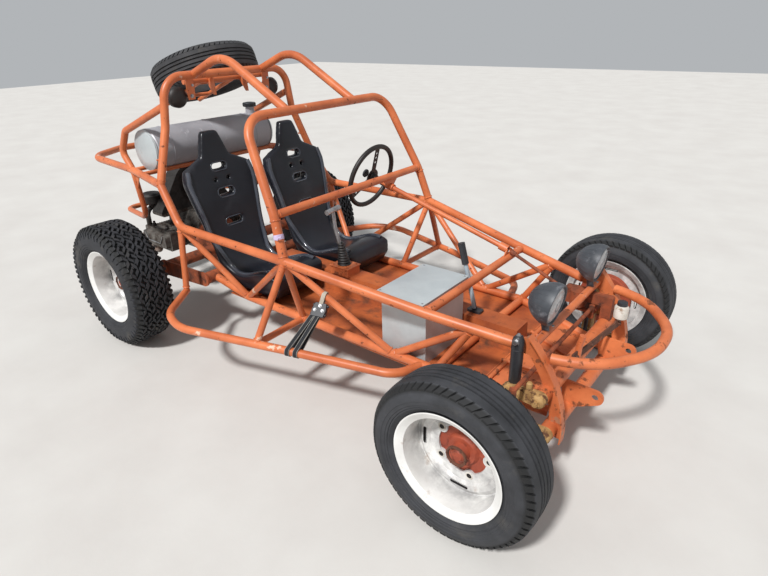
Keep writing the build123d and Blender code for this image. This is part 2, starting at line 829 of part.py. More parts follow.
# Fuel tank across the rear of the frame, with rounded ends, a neck and a cap
with BuildPart() as fuel_tank:
    with BuildSketch(Plane.YZ.offset(TANK_X)):
        with BuildLine():
            Polyline(
                (-TANK_L / 2 - 6, TANK_Z),
                (-TANK_L / 2 - 6, TANK_Z + TANK_R - 40),
                (-TANK_L / 2, TANK_Z + TANK_R - 12),
                (-TANK_L / 2 + 14, TANK_Z + TANK_R),
                (TANK_L / 2 - 14, TANK_Z + TANK_R),
                (TANK_L / 2, TANK_Z + TANK_R - 12),
                (TANK_L / 2 + 6, TANK_Z + TANK_R - 40),
                (TANK_L / 2 + 6, TANK_Z),
                close=True,
            )
        make_face()
    revolve(axis=Axis((TANK_X, 0, TANK_Z), (0, 1, 0)))
    with BuildSketch(Plane.YZ.offset(TANK_X)):
        with BuildLine():
            neck_y = TANK_L / 2 - 70
            base = TANK_Z + TANK_R - 12
            Polyline(
                (neck_y, base),
                (neck_y + 30, base),
                (neck_y + 26, base + 46),
                (neck_y + 38, base + 48),
                (neck_y + 38, base + 64),
                (neck_y + 30, base + 70),
                (neck_y, base + 70),
                close=True,
            )
        make_face()
    revolve(axis=Axis((TANK_X, neck_y, 0), (0, 0, 1)))

# Engine: case, finned cylinders, heads, fan shroud, pulleys, intake and air cleaner
ENGINE_X = AXLE_R - 330
CRANK_Z = REAR_TYRE_R + 60
CASE_L = 330
CASE_HALF = 115
HEAD_Y = 262
HEAD_T = 50
HEAD_H = 130
CYLINDER_PITCH = 144
FIN_STEP = 17
FINS = 8
FAN_Z = CRANK_Z + 285
SHROUD_T = 110
INTAKE_X = ENGINE_X - 130
INTAKE_Z = CRANK_Z + 170
CLEANER_Y = -238
with BuildPart() as engine:
    with BuildSketch(Plane.YZ.offset(ENGINE_X - CASE_L / 2)):
        with BuildLine():
            Polyline(
                (-70, CRANK_Z - 140),
                (70, CRANK_Z - 140),
                (CASE_HALF, CRANK_Z - 90),
                (CASE_HALF, CRANK_Z + 60),
                (80, CRANK_Z + 130),
                (-80, CRANK_Z + 130),
                (-CASE_HALF, CRANK_Z + 60),
                (-CASE_HALF, CRANK_Z - 90),
                close=True,
            )
        make_face()
    extrude(amount=CASE_L)
    for side in SIDES:
        for x in (ENGINE_X - CYLINDER_PITCH / 2, ENGINE_X + CYLINDER_PITCH / 2):
            rod([(x, side * 100, CRANK_Z), (x, side * HEAD_Y, CRANK_Z)], 48)
            for k in range(FINS):
                fin_y = side * (CASE_HALF + 8 + k * FIN_STEP)
                with BuildSketch(Plane((x, fin_y, CRANK_Z), x_dir=(1, 0, 0), z_dir=(0, side, 0))):
                    RectangleRounded(CYLINDER_PITCH - 12, HEAD_H - 6, 34)
                extrude(amount=4)
        with BuildSketch(Plane((ENGINE_X, side * HEAD_Y, CRANK_Z), x_dir=(1, 0, 0), z_dir=(0, side, 0))):
            RectangleRounded(290, HEAD_H, 16)
        extrude(amount=HEAD_T)
        with BuildSketch(Plane((ENGINE_X, side * (HEAD_Y + HEAD_T), CRANK_Z), x_dir=(1, 0, 0), z_dir=(0, side, 0))):
            RectangleRounded(264, 92, 20)
        extrude(amount=30, taper=10)
    with BuildSketch(Plane.YZ.offset(ENGINE_X - 95)):
        with Locations((-250, CRANK_Z + 146), (250, CRANK_Z + 146)):
            Circle(20)
        with Locations((0, FAN_Z)):
            Circle(150)
        make_hull()
    extrude(amount=SHROUD_T)
    with BuildSketch(Plane.YZ.offset(ENGINE_X - 95 + SHROUD_T)):
        with Locations((0, FAN_Z)):
            Circle(112)
            Circle(44, mode=Mode.SUBTRACT)
    extrude(amount=-40, mode=Mode.SUBTRACT)
    rod([(ENGINE_X - 90, 0, FAN_Z), (ENGINE_X - 212, 0, FAN_Z)], 54)
    rod([(ENGINE_X - 210, 0, FAN_Z), (ENGINE_X - 234, 0, FAN_Z)], 62)
    rod([(ENGINE_X - 160, 0, CRANK_Z), (ENGINE_X - 210, 0, CRANK_Z)], 24)
    rod([(ENGINE_X - 210, 0, CRANK_Z), (ENGINE_X - 234, 0, CRANK_Z)], 84)
    with BuildSketch(Plane.YZ.offset(ENGINE_X - 200)):
        with Locations((0, CRANK_Z + 128)):
            Circle(46)
        with Locations((0, FAN_Z - 30)):
            Circle(34)
        make_hull()
    extrude(amount=74)
    intake = (
        (INTAKE_X, 287, CRANK_Z + 55),
        (INTAKE_X, 287, INTAKE_Z),
        (INTAKE_X, -287, INTAKE_Z),
        (INTAKE_X, -287, CRANK_Z + 55),
    )
    rod(intake, 16, 50)
    with BuildSketch(upright(CLEANER_Y)):
        with BuildLine():
            Polyline(
                (INTAKE_X, INTAKE_Z - 12),
                (INTAKE_X + 24, INTAKE_Z - 12),
                (INTAKE_X + 28, INTAKE_Z + 26),
                (INTAKE_X + 60, INTAKE_Z + 32),
                (INTAKE_X + 64, INTAKE_Z + 80),
                (INTAKE_X + 52, INTAKE_Z + 92),
                (INTAKE_X, INTAKE_Z + 96),
                close=True,
            )
        make_face()
    revolve(axis=Axis((INTAKE_X, CLEANER_Y, 0), (0, 0, 1)))

# Silencer behind the engine with a pipe up to each head
SILENCER_Z = CRANK_Z - 106
SILENCER_R = 60
SILENCER_X = ENGINE_X - 310
PIPE_R = 19
PIPE_Y = HEAD_Y + HEAD_T / 2
with BuildPart() as silencer:
    with BuildSketch(Plane((SILENCER_X, 0, SILENCER_Z), z_dir=(0, 1, 0))):
        Circle(SILENCER_R)
    extrude(amount=PIPE_Y + 25, both=True)
    chamfer(silencer.edges(), 7)
    for side in SIDES:
        pipe = (
            (SILENCER_X, side * PIPE_Y, SILENCER_Z),
            (ENGINE_X - 60, side * PIPE_Y, SILENCER_Z),
            (ENGINE_X - 60, side * PIPE_Y, CRANK_Z - HEAD_H / 2 - WELD),
        )
        rod(pipe, PIPE_R, 22)
    rod([(SILENCER_X, 120, SILENCER_Z), (SILENCER_X - 150, 120, SILENCER_Z - 30)], 22)

# Rear axle: torsion tube, spring plates, gearbox with its bell, axle tubes and half shafts
TORSION_R = 33
SPRING_T = 10
AXLE_TUBE_R = 34
TORSION_X = STATION["torsion"][0]
with BuildPart() as rear_axle:
    rod([st("torsion", 1), st("torsion", -1)], TORSION_R)
    with BuildSketch(upright(0)):
        with BuildLine():
            z = REAR_TYRE_R
            Polyline(
                (TORSION_X - 10, z),
                (TORSION_X - 10, z + 44),
                (TORSION_X - 90, z + 60),
                (TORSION_X - 240, z + 74),
                (AXLE_R + 95, z + 100),
                (AXLE_R - 60, z + 100),
                (AXLE_R - 105, z + 120),
                (ENGINE_X + CASE_L / 2 + 30, z + 158),
                (ENGINE_X + CASE_L / 2 + WELD, z + 158),
                (ENGINE_X + CASE_L / 2 + WELD, z),
                close=True,
            )
        make_face()
    revolve(axis=Axis((0, 0, REAR_TYRE_R), (1, 0, 0)))
    for side in SIDES:
        tube_end = side * (REAR_LIP_Y - DISC_DEPTH - 75)
        rod([(AXLE_R, 0, REAR_TYRE_R), (AXLE_R, tube_end, REAR_TYRE_R)], AXLE_TUBE_R)
        rod([(AXLE_R, 0, REAR_TYRE_R), (AXLE_R, side * (REAR_LIP_Y - HUB_BACK), REAR_TYRE_R)], 22)
        with BuildSketch(upright(side * (STATION["torsion"][1] + SPRING_T / 2))):
            with Locations((AXLE_R, REAR_TYRE_R)):
                Circle(46)
            with Locations((TORSION_X, STATION["torsion"][2])):
                Circle(40)
            make_hull()
        extrude(amount=SPRING_T / 2, both=True)
    cut_by_rails(upper=False)

# Headlamps: round bowls on short stems from the lamp bar
LAMPS_Y = (262, -218)
LAMP_R = 82
LAMP_Z = NOSE_Z + 123
LAMP_X = fr(82, 0, 0)[0]
LAMP_TILT = 8
LAMP_DIR = Vector(1, 0, 0).rotate(Axis.Y, LAMP_TILT)
with BuildPart() as headlamps:
    for lamp_y in LAMPS_Y:
        middle = Vector(LAMP_X, lamp_y, LAMP_Z)
        with BuildSketch(Plane(middle, x_dir=LAMP_DIR, z_dir=(0, -1, 0))):
            with BuildLine():
                lens = ThreePointArc((0, 0), (-3, LAMP_R / 2), (-12, LAMP_R - 10))
                rim_line = Polyline(
                    lens @ 1,
                    (-4, LAMP_R - 6),
                    (-4, LAMP_R),
                    (-20, LAMP_R + 2),
                    (-24, LAMP_R - 4),
                )
                bowl = Spline(
                    rim_line @ 1,
                    (-62, LAMP_R - 16),
                    (-98, LAMP_R - 44),
                    (-112, 0),
                    tangents=((-1, 0), (0, -1)),
                )
                Line(bowl @ 1, (0, 0))
            make_face()
        revolve(axis=Axis(middle, LAMP_DIR))
        foot = Vector(STATION["lamp_bar"][0], lamp_y, NOSE_Z)
        rod([foot, foot + Vector(-14, 0, 60)], 14)
    cut_by([st("lamp_bar", 1), st("lamp_bar", -1)], STRUT_R)

# Folded metal box in front of the right seat, open at the front below its lid
BOX_TOP = 600
BOX_W = 361
BOX_L = 244
BODY_W = 298
BOX_MID = Vector(*fr(-518, -220, 0))
with BuildPart() as metal_box:
    with BuildSketch(Plane(BOX_MID + Vector(0, 0, FLOOR_Z))):
        Rectangle(BOX_L - 12, BODY_W)
    extrude(amount=BOX_TOP - FLOOR_Z - 2)
    with BuildSketch(Plane(BOX_MID + Vector(0, 0, BOX_TOP - 16))):
        RectangleRounded(BOX_L, BOX_W, 5)
    extrude(amount=16)

# Shifter and hand lever on the tunnel
TUNNEL_TOP = FLOOR_Z - WELD + TUNNEL_H
SHIFT_Y = -20
with BuildPart() as controls:
    base = Vector(*fr(-1172, SHIFT_Y, TUNNEL_TOP + WELD))
    knob = Vector(*fr(-1233, SHIFT_Y, 750))
    with BuildSketch(Plane(base)):
        RectangleRounded(96, 70, 14)
    extrude(amount=10)
    with BuildSketch(Plane(base + Vector(0, 0, 8))):
        Circle(32)
    extrude(amount=114, taper=9)
    bend = Vector(*fr(-1199, SHIFT_Y, 560))
    rod([base + Vector(0, 0, 20), bend, knob - Vector(16, 0, 70), knob], 9, 20)
    rod([knob + Vector(0, 46, 4), knob + Vector(0, -46, -4)], 13)
    lever_foot = Vector(*fr(-376, 0, TUNNEL_TOP + WELD))
    lever_top = Vector(*fr(-466, 0, 730))
    with BuildSketch(Plane(lever_foot)):
        RectangleRounded(70, 40, 8)
    extrude(amount=12)
    rod([lever_foot + Vector(0, 0, 6), lever_top], 9)
    rod([lever_top + (lever_foot - lever_top) * 0.3, lever_top], 16)

# Spare tyre on its rack behind the rear hoop
SPARE_R = FRONT_TYRE_R
SPARE_W = 176
SPARE_Y = 90
RACK_TILT = 21
RACK_R = 12
RACK_HALF = 110
HOOP_X = STATION["roof_rear"][0]
SLOPE = Vector(-1, 0, 0).rotate(Axis.Y, -RACK_TILT)
SPARE_UP = Vector(0, 0, 1).rotate(Axis.Y, -RACK_TILT)
RACK_START = Vector(HOOP_X, 0, REAR_HOOP_Z)
SPARE_C = RACK_START + SLOPE * (SPARE_R + TUBE_R - 6) + SPARE_UP * (SPARE_W / 2 + RACK_R + WELD)
with BuildPart() as spare_rack:
    for y in (-RACK_HALF, RACK_HALF):
        start = RACK_START + Vector(0, y, 0)
        rod([start, start + SLOPE * 520], RACK_R)
        with BuildSketch(upright(y)):
            with BuildLine():
                Polyline(
                    (HOOP_X, REAR_HOOP_Z),
                    (HOOP_X - 70, REAR_HOOP_Z - 27),
                    (HOOP_X - 8, REAR_HOOP_Z - 110),
                    (HOOP_X + 10, REAR_HOOP_Z - 110),
                    close=True,
                )
            make_face()
        extrude(amount=4, both=True)
    for reach in (150, 400):
        start = RACK_START + SLOPE * reach
        rod([start + Vector(0, RACK_HALF, 0), start - Vector(0, RACK_HALF, 0)], RACK_R - 1)
    cut_by(rear_hoop_points(), TUBE_R, HOOP_BEND)

SPARE_PLANE = Plane(SPARE_C + Vector(0, SPARE_Y, 0), x_dir=(0, 1, 0), z_dir=SPARE_UP)
with BuildPart() as spare_ring:
    with BuildSketch(Plane.XZ):
        with BuildLine():
            half = SPARE_W / 2
            Polyline(
                (SPARE_R - 5, half - 34),
                (SPARE_R - 22, half - 14),
                (BEAD_R + 65, half),
                (BEAD_R + 40, half - 4),
                (BEAD_R, half - 24),
                (BEAD_R, half - 38),
                (BEAD_R + 50, half - 16),
                (SPARE_R - 34, half - 30),
                (SPARE_R - 16, 0),
                (SPARE_R - 34, -half + 30),
                (BEAD_R + 50, -half + 16),
                (BEAD_R, -half + 38),
                (BEAD_R, -half + 24),
                (BEAD_R + 40, -half + 4),
                (BEAD_R + 65, -half),
                (SPARE_R - 22, -half + 14),
                (SPARE_R - 5, -half + 34),
                (SPARE_R, -half / 3),
                (SPARE_R, half / 3),
                close=True,
            )
        make_face()
    revolve(axis=Axis.Z)
spare_tyre = SPARE_PLANE.location * spare_ring.part

PARTS = {
    "upper_rails": upper_rails.part,
    "lower_rails": lower_rails.part,
    "front_hoop": front_hoop.part,
    "rear_hoop": rear_hoop.part,
    "roof_bars": roof_bars.part,
    "cross_tubes": cross_tubes.part,
    "side_struts": side_struts.part,
    "side_bars": side_bars.part,
    "rear_frame": rear_frame.part,
    "rear_stays": rear_stays.part,
    "bumper_loop": bumper_loop.part,
    "front_beam": front_beam.part,
    "trailing_arms": trailing_arms.part,
    "front_shocks": front_shocks.part,
    "knuckle_left": knuckle_left.part,
    "knuckle_right": knuckle_right.part,
    "steering_wheel": steering_wheel.part,
    "steering_shaft": steering_shaft.part,
    "steering_box": steering_box.part,
    "pitman_arm": pitman_arm.part,
    "tie_rod_left": tie_rod_left.part,
    "tie_rod_right": tie_rod_right.part,
    "floor_pan": floor_pan.part,
    "seats": seats.part,
    "fuel_tank": fuel_tank.part,
    "engine": engine.part,
    "silencer": silencer.part,
    "rear_axle": rear_axle.part,
    "headlamps": headlamps.part,
    "metal_box": metal_box.part,
    "controls": controls.part,
    "spare_rack": spare_rack.part,
    "spare_tyre": spare_tyre,
}
PARTS.update(wheel_parts)

for name, solid in PARTS.items():
    solid.label = name
    export_step(solid, f"parts/{name}.step")
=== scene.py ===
# %% [markdown]
# # Orange tube frame buggy
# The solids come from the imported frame, in metres: +X forward, +Y to the
# driver's side, +Z up. This lesson dresses them: paint, rust, tread, plastic,
# straps, bolts and the light of the photograph.

import json
import math

import bmesh
import bpy
from mathutils import Matrix, Vector


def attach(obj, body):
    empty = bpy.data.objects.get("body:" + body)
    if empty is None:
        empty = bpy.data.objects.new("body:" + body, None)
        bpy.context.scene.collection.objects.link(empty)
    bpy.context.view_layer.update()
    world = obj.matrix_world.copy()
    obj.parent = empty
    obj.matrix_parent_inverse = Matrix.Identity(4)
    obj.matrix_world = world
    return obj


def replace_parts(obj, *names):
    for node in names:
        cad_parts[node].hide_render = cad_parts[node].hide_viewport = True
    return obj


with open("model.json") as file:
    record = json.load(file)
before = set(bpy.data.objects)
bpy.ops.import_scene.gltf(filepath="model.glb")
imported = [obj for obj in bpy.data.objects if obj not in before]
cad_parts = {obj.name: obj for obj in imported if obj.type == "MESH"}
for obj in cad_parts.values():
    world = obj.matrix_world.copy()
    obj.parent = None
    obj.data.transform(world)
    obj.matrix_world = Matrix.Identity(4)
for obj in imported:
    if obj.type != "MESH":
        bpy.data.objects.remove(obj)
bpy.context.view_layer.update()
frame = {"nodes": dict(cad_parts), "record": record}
nodes = frame["nodes"]
scene = bpy.context.scene
AXLE_F, FRONT_R = 1.347, 0.312
AXLE_R, REAR_R = -0.853, 0.346
SIDES = (("left", 1), ("right", -1))

# %% [markdown]
# Colours are written as they look on a screen. One function turns such a hex
# code into the linear numbers that the shaders expect.

# %% Colours


def colour(code):
    """linear colour from an sRGB hex code such as E0702F"""
    parts = [int(code[i : i + 2], 16) / 255 for i in (0, 2, 4)]
    linear = [c / 12.92 if c <= 0.04045 else ((c + 0.055) / 1.055) ** 2.4 for c in parts]
    return (*linear, 1.0)


# %% [markdown]
# A material is a small tree of nodes. One function adds a node with its
# settings, its values and its incoming links, so that each step is one line.

# %% Node helper


def add(tree, kind, values=None, links=None, **settings):
    """one shader node with its settings, socket values and incoming links"""
    node = tree.nodes.new("ShaderNode" + kind)
    for name, value in settings.items():
        setattr(node, name, value)
    for socket, value in (values or {}).items():
        node.inputs[socket].default_value = value
    for socket, source in (links or {}).items():
        tree.links.new(source, node.inputs[socket])
    return node


# %% [markdown]
# Old paint and metal are never even: rust, chips and dirt lie in patches. A
# noise pattern cut at a level gives such patches, and their size is a real one
# in millimetres. A second helper lays a colour over what is already there.

# %% Patches and layers


def per_metre(size):
    """how often a pattern of this size in millimetres repeats in a metre"""
    return 1000 / size


def patches(tree, coords, size, low, high):
    """a mask of patches: 0 below one level of a noise and 1 above another"""
    values = {"Scale": per_metre(size), "Detail": 5.0, "Roughness": 0.65}
    noise = add(tree, "TexNoise", values, {"Vector": coords})
    cut = {"From Min": low, "From Max": high}
    return add(tree, "MapRange", cut, {"Value": noise.outputs["Fac"]}).outputs["Result"]


def lay_over(tree, amount, under, over):
    """a colour laid over another where the amount is 1; sockets 6 and 7 of a mix are its colours"""
    links = {"Factor": amount, 6: under}
    values = {}
    if isinstance(over, str):
        values[7] = colour(over)
    else:
        links[7] = over
    return add(tree, "Mix", values, links, data_type="RGBA").outputs[2]


# %% [markdown]
# Some marks follow the form and not chance: a painted shade darkens the bottom
# of a tyre's grooves, a painted grey shade lies deep in the dish of a wheel, and
# the engine's tin is black above the grimy case. Each helper gives a mask from a
# point's place.

# %% Masks from a place


def groove_shade(tree, coords, x, z, radius):
    """painted shade in the grooves of a tyre, by the distance from its axle, and not its side wall"""
    place = add(tree, "SeparateXYZ", links={"Vector": coords}).outputs
    flat = add(tree, "CombineXYZ", links={"X": place["X"], "Z": place["Z"]}).outputs["Vector"]
    reach = add(tree, "VectorMath", {1: (x, 0, z)}, {0: flat}, operation="DISTANCE").outputs["Value"]
    crown = {"From Min": radius - 0.0075, "From Max": radius - 0.0035, "To Min": 0.85, "To Max": 0.0}
    wall = {"From Min": radius - 0.034, "From Max": radius - 0.024}
    below_crown = add(tree, "MapRange", crown, {"Value": reach}).outputs["Result"]
    above_wall = add(tree, "MapRange", wall, {"Value": reach}).outputs["Result"]
    links = {0: below_crown, 1: above_wall}
    return add(tree, "Math", links=links, operation="MULTIPLY").outputs["Value"]


def above(tree, coords, level):
    """everything above a height"""
    height = add(tree, "SeparateXYZ", links={"Vector": coords}).outputs["Z"]
    edge = {"From Min": level - 0.01, "From Max": level, "To Max": 0.85}
    return add(tree, "MapRange", edge, {"Value": height}).outputs["Result"]


def shade_in_wheel(tree, coords):
    """a painted grey shade in patches in the dish of a wheel, stronger towards the disc"""
    across = add(tree, "SeparateXYZ", links={"Vector": coords}).outputs["Y"]
    away = add(tree, "Math", links={0: across}, operation="ABSOLUTE").outputs["Value"]
    dish = {"From Min": 0.83, "From Max": 0.735, "To Max": 0.9}
    inner = add(tree, "MapRange", dish, {"Value": away}).outputs["Result"]
    links = {0: inner, 1: patches(tree, coords, 90.9, 0.38, 0.60)}
    return add(tree, "Math", links=links, operation="MULTIPLY").outputs["Value"]


# %% [markdown]
# Most finishes share one recipe: two close shades in soft clouds, a worn or
# rusty layer in patches, then what the place adds, and a fine grain as bump.
# The grain of real paint is under a millimetre. It would not show from here, so
# it is drawn a few millimetres wide.

# %% One recipe for a surface


def surface(
    name,
    light,
    dark,
    cloud,
    rough,
    metal=0.0,
    bump=0.15,
    grain=3.85,
    wear=None,
    chips=None,
    coat=0.0,
    marks=(),
):
    """a finish: two shades, their cloud in mm, wear as (colour, size in mm, low, high), and marks"""
    mat = bpy.data.materials.new(name)
    mat.use_nodes = True
    tree = mat.node_tree
    tree.nodes.clear()
    shader = add(tree, "BsdfPrincipled", {"Metallic": metal, "Coat Weight": coat})
    add(tree, "OutputMaterial", links={"Surface": shader.outputs["BSDF"]})
    coords = add(tree, "TexCoord").outputs["Object"]
    values = {"Scale": per_metre(cloud), "Detail": 6.0, "Roughness": 0.6}
    noise = add(tree, "TexNoise", values, {"Vector": coords}).outputs["Fac"]
    blend = add(tree, "ValToRGB", links={"Fac": noise})
    for element, place, code in zip(blend.color_ramp.elements, (0.32, 0.66), (dark, light)):
        element.position = place
        element.color = colour(code)
    shade = blend.outputs["Color"]
    values = {"To Min": rough - 0.08, "To Max": rough + 0.1}
    gloss = add(tree, "MapRange", values, {"Value": noise}).outputs["Result"]
    if wear:
        code, size, low, high = wear
        worn = patches(tree, coords, size, low, high)
        shade = lay_over(tree, worn, shade, code)
        links = {"Factor": worn, "A": gloss}
        gloss = add(tree, "Mix", {"B": 0.85}, links, data_type="FLOAT").outputs[0]
    for place, values, code in marks:
        shade = lay_over(tree, place(tree, coords, *values), shade, code)
    if chips:
        shade = lay_over(tree, patches(tree, coords, 111, 0.665, 0.70), shade, chips)
        shade = lay_over(tree, patches(tree, coords, 13.33, 0.685, 0.72), shade, wear[0])
    tree.links.new(shade, shader.inputs["Base Color"])
    tree.links.new(gloss, shader.inputs["Roughness"])
    values = {"Scale": per_metre(grain), "Detail": 3.0}
    fine = add(tree, "TexNoise", values, {"Vector": coords}).outputs["Fac"]
    bumps = add(tree, "Bump", {"Strength": bump, "Distance": 0.001}, {"Height": fine})
    tree.links.new(bumps.outputs["Normal"], shader.inputs["Normal"])
    return mat


# %% [markdown]
# The finishes of the record's own slots. The tubes are steel with a sprayed
# enamel, bleached by the sun, chipped to a pale primer and specked with rust.
# Tyres are worn rubber with dust in it, wheels have a thick white enamel with
# brown stains and a painted grey shade deep in the dish, and drums a rough brown
# one burnt by heat. The seats are moulded plastic, smooth and a little blue in the
# light. The steering wheel has a soft vinyl grip. Lamps and shocks are black
# enamel, the tank and the box bare sheet, and the steering gear plain steel under
# a coat of rust.

# %% Finishes of the record's slots
MATERIALS = {
    "frame_orange": surface(
        "sprayed_enamel",
        "D97A4A",
        "B25A32",
        200,
        0.40,
        bump=0.25,
        wear=("6A3823", 29.4, 0.640, 0.685),
        chips="D9B7A0",
    ),
    "tyre": surface(
        "tyre_rubber", "3F3F41", "29292B", 83.3, 0.74, bump=0.4, wear=("615C54", 125, 0.55, 0.95)
    ),
    "wheel_white": surface(
        "wheel_enamel",
        "ECEBE8",
        "D3D1CD",
        143,
        0.32,
        wear=("97765A", 76.9, 0.61, 0.80),
        # a painted grey shade in patches deep in the dish
        marks=((shade_in_wheel, (), "9C9A99"),),
    ),
    "drum_orange": surface("burnt_paint", "A84E33", "8A3B26", 71.4, 0.62, wear=("4F2A1E", 38.5, 0.56, 0.72)),
    "seat_black": surface(
        "moulded_plastic", "1C1E26", "13151B", 250, 0.30, bump=0.3, grain=2.4, wear=("3A3B40", 167, 0.6, 0.9)
    ),
    "grip_black": surface("vinyl_grip", "2A2422", "1D1918", 55.6, 0.5, bump=0.4),
    "black_metal": surface("black_enamel", "323438", "222327", 100, 0.42, wear=("6B6358", 45.5, 0.68, 0.8)),
    "grey_metal": surface(
        "dull_alloy", "B4B4B8", "98989C", 167, 0.42, metal=0.35, wear=("827868", 55.6, 0.68, 0.85)
    ),
    "rusty_steel": surface(
        "rusted_steel", "A4532F", "6E3A26", 62.5, 0.75, bump=0.5, wear=("41281E", 45.5, 0.5, 0.68)
    ),
}
print(len(MATERIALS), "finishes for the record's slots")

# %% [markdown]
# Some solids look different from the rest of their slot. The tank is sprayed
# grey, the box is galvanised sheet, the engine's alloy case is grimy below and
# its tin painted black above, the silencer is heat-stained steel. The floor's
# paint is walked dull and dirty, and darker than the frame for a painted shade,
# the nose takes the stone chips, and the trailing arms are bare castings that
# have turned tan.

# %% Finishes of single solids
TANK = surface("tank_enamel", "B3B2B6", "9A999E", 286, 0.45, metal=0.15, wear=("C9C8CC", 83.3, 0.6, 0.7))
SHEET = surface(
    "galvanised_sheet", "C9D0D1", "AEB6B9", 286, 0.38, metal=0.3, wear=("97907F", 66.7, 0.66, 0.8)
)
ENGINE = surface(
    "grimy_alloy",
    "77726C",
    "45403B",
    45.5,
    0.58,
    metal=0.35,
    bump=0.5,
    wear=("3A2D24", 52.6, 0.48, 0.66),
    marks=((above, (0.560,), "232222"),),
)
PIPE = surface("exhaust_steel", "9A9088", "6F5F54", 83.3, 0.6, metal=0.4, wear=("6B4129", 83.3, 0.5, 0.7))
LAMP = surface("lamp_enamel", "505358", "36393E", 111, 0.45, wear=("7E7F84", 62.5, 0.55, 0.72))
# darker than the frame: dirt, and a painted shade on the floor
FLOOR = surface("walked_enamel_and_shade", "B8602F", "8C4426", 143, 0.6, wear=("5C3826", 90.9, 0.52, 0.72))
RUSTY_PAINT = surface(
    "chipped_enamel",
    "DA7B4A",
    "B65E36",
    143,
    0.48,
    bump=0.35,
    wear=("7B4428", 52.6, 0.575, 0.640),
    chips="A9765A",
)
CASTING = surface("tan_casting", "C09A63", "8F6B42", 38.5, 0.7, bump=0.6, wear=("5E3D28", 25, 0.5, 0.62))
print("eight finishes for single solids")

# %% [markdown]
# Every solid takes the finish of its slot in the record, or its own one from a
# short list. The record says which slot a solid has, so none is forgotten.

# %% Paint the solids
LOOKS = {
    "fuel_tank": TANK,
    "metal_box": SHEET,
    "engine": ENGINE,
    "silencer": PIPE,
    "floor_pan": FLOOR,
    "headlamps": LAMP,
    "bumper_loop": RUSTY_PAINT,
    "front_beam": RUSTY_PAINT,
    "trailing_arms": CASTING,
}
for part in frame["record"]["subparts"]:
    for slot in nodes[part["node"]].material_slots:
        slot.material = LOOKS.get(part["node"], MATERIALS[part["material_slot"]])
print(len(LOOKS), "solids with a finish of their own")

# %% [markdown]
# Finishes of the new pieces. Bolts are plated steel, straps woven nylon with a
# painted highlight along their edges, lenses pressed glass, the tie a strip of lilac
# tape, the reservoir a yellowed plastic. The two kinds of tyre have the same
# rubber, with a painted shade that darkens the grooves between their blocks.

# %% Finishes of the new pieces
# Both tyres get a near black painted shade at the bottom of their grooves.
FRONT_TYRE = surface(
    "front_rubber",
    "3A3B3F",
    "26272A",
    83.3,
    0.74,
    bump=0.4,
    wear=("615C54", 125, 0.55, 0.95),
    marks=((groove_shade, (AXLE_F, FRONT_R, FRONT_R), "131313"),),
)
REAR_TYRE = surface(
    "rear_rubber",
    "323337",
    "222327",
    83.3,
    0.74,
    bump=0.4,
    wear=("615C54", 125, 0.55, 0.95),
    marks=((groove_shade, (AXLE_R, REAR_R, REAR_R), "131313"),),
)
RUST = surface("dark_rust", "6E4431", "4A2E23", 50, 0.8, bump=0.6, wear=("A65A35", 50, 0.6, 0.75))
STEEL = surface("plated_steel", "BFC0C2", "8F8F90", 50, 0.35, metal=0.85, wear=("7A5A45", 41.7, 0.6, 0.75))
LENS = surface("pressed_glass", "C4C5C6", "A3A5A8", 33.3, 0.18, coat=0.5, bump=0.1)
RED = surface("red_lens", "9C1F1B", "7C1815", 50, 0.2, coat=0.5)
# painted highlight: a lighter grey than the seat, for its rolled edges and slot rims
GLOSS_HIGHLIGHT = surface("polished_edge_highlight", "464A53", "31343C", 167, 0.16, bump=0.1, grain=3.33, coat=0.6)
WEBBING = surface("woven_nylon", "24262B", "15161A", 16.7, 0.85, bump=0.8, grain=1.11)
# painted highlight: pale strips along both edges of each belt
BELT_HIGHLIGHT = surface("belt_edge_highlight", "8C8A84", "5E5B56", 25, 0.7, bump=0.4)
OLD_BAND = surface("perished_rubber", "B9B2A4", "958C7C", 33.3, 0.7, bump=0.4)
LILAC = surface("lilac_tape", "CBBBD6", "B4A2C4", 33.3, 0.5)
# painted shade: a near black for the insides of lug holes and wheel vents
SHADOW = surface("painted_hollow_shade", "1E1A18", "120F0E", 25, 0.8)
BLUE_GREY = surface("blue_grey_paint", "AEBBC2", "94A3AC", 71.4, 0.45, wear=("7D6A5A", 38.5, 0.62, 0.72))
DIRTY_WHITE = surface("yellowed_plastic", "D8D4CB", "B5AEA2", 55.6, 0.5, wear=("8A6A50", 33.3, 0.58, 0.74))

# %% [markdown]
# Each finish of the new pieces is listed with the record's slot that it belongs
# to. Lenses, webbing and ties have none.

# %% Slots of the new pieces
SLOT_OF = {look: slot for slot, look in MATERIALS.items()}
SLOT_OF |= {
    FRONT_TYRE: "tyre",
    REAR_TYRE: "tyre",
    RUSTY_PAINT: "frame_orange",
    TANK: "grey_metal",
    SHEET: "grey_metal",
    STEEL: "grey_metal",
    RUST: "rusty_steel",
    CASTING: "rusty_steel",
    LAMP: "black_metal",
    GLOSS_HIGHLIGHT: "seat_black",
}
print(len(SLOT_OF), "finishes belong to a slot")

# %% [markdown]
# New pieces grow in an open mesh, a bmesh, and each helper adds one shape to it.
# They could be shaped by hand from primitives too. Here most of them are tubes,
# turned shapes and plates that a few measures describe, so the points are placed
# straight from those. Many need a place on a circle round an axis, which comes
# first. A tube carries a ring of points along a path, turning it as little as it
# can, so that it never twists.

# %% Circles and tubes


def axes(axis):
    """two directions square to an axis and to each other"""
    axis = Vector(axis).normalized()
    first = axis.orthogonal().normalized()
    return first, axis.cross(first)


def turns(count):
    """evenly spaced angles round a circle"""
    return [2 * math.pi * k / count for k in range(count)]


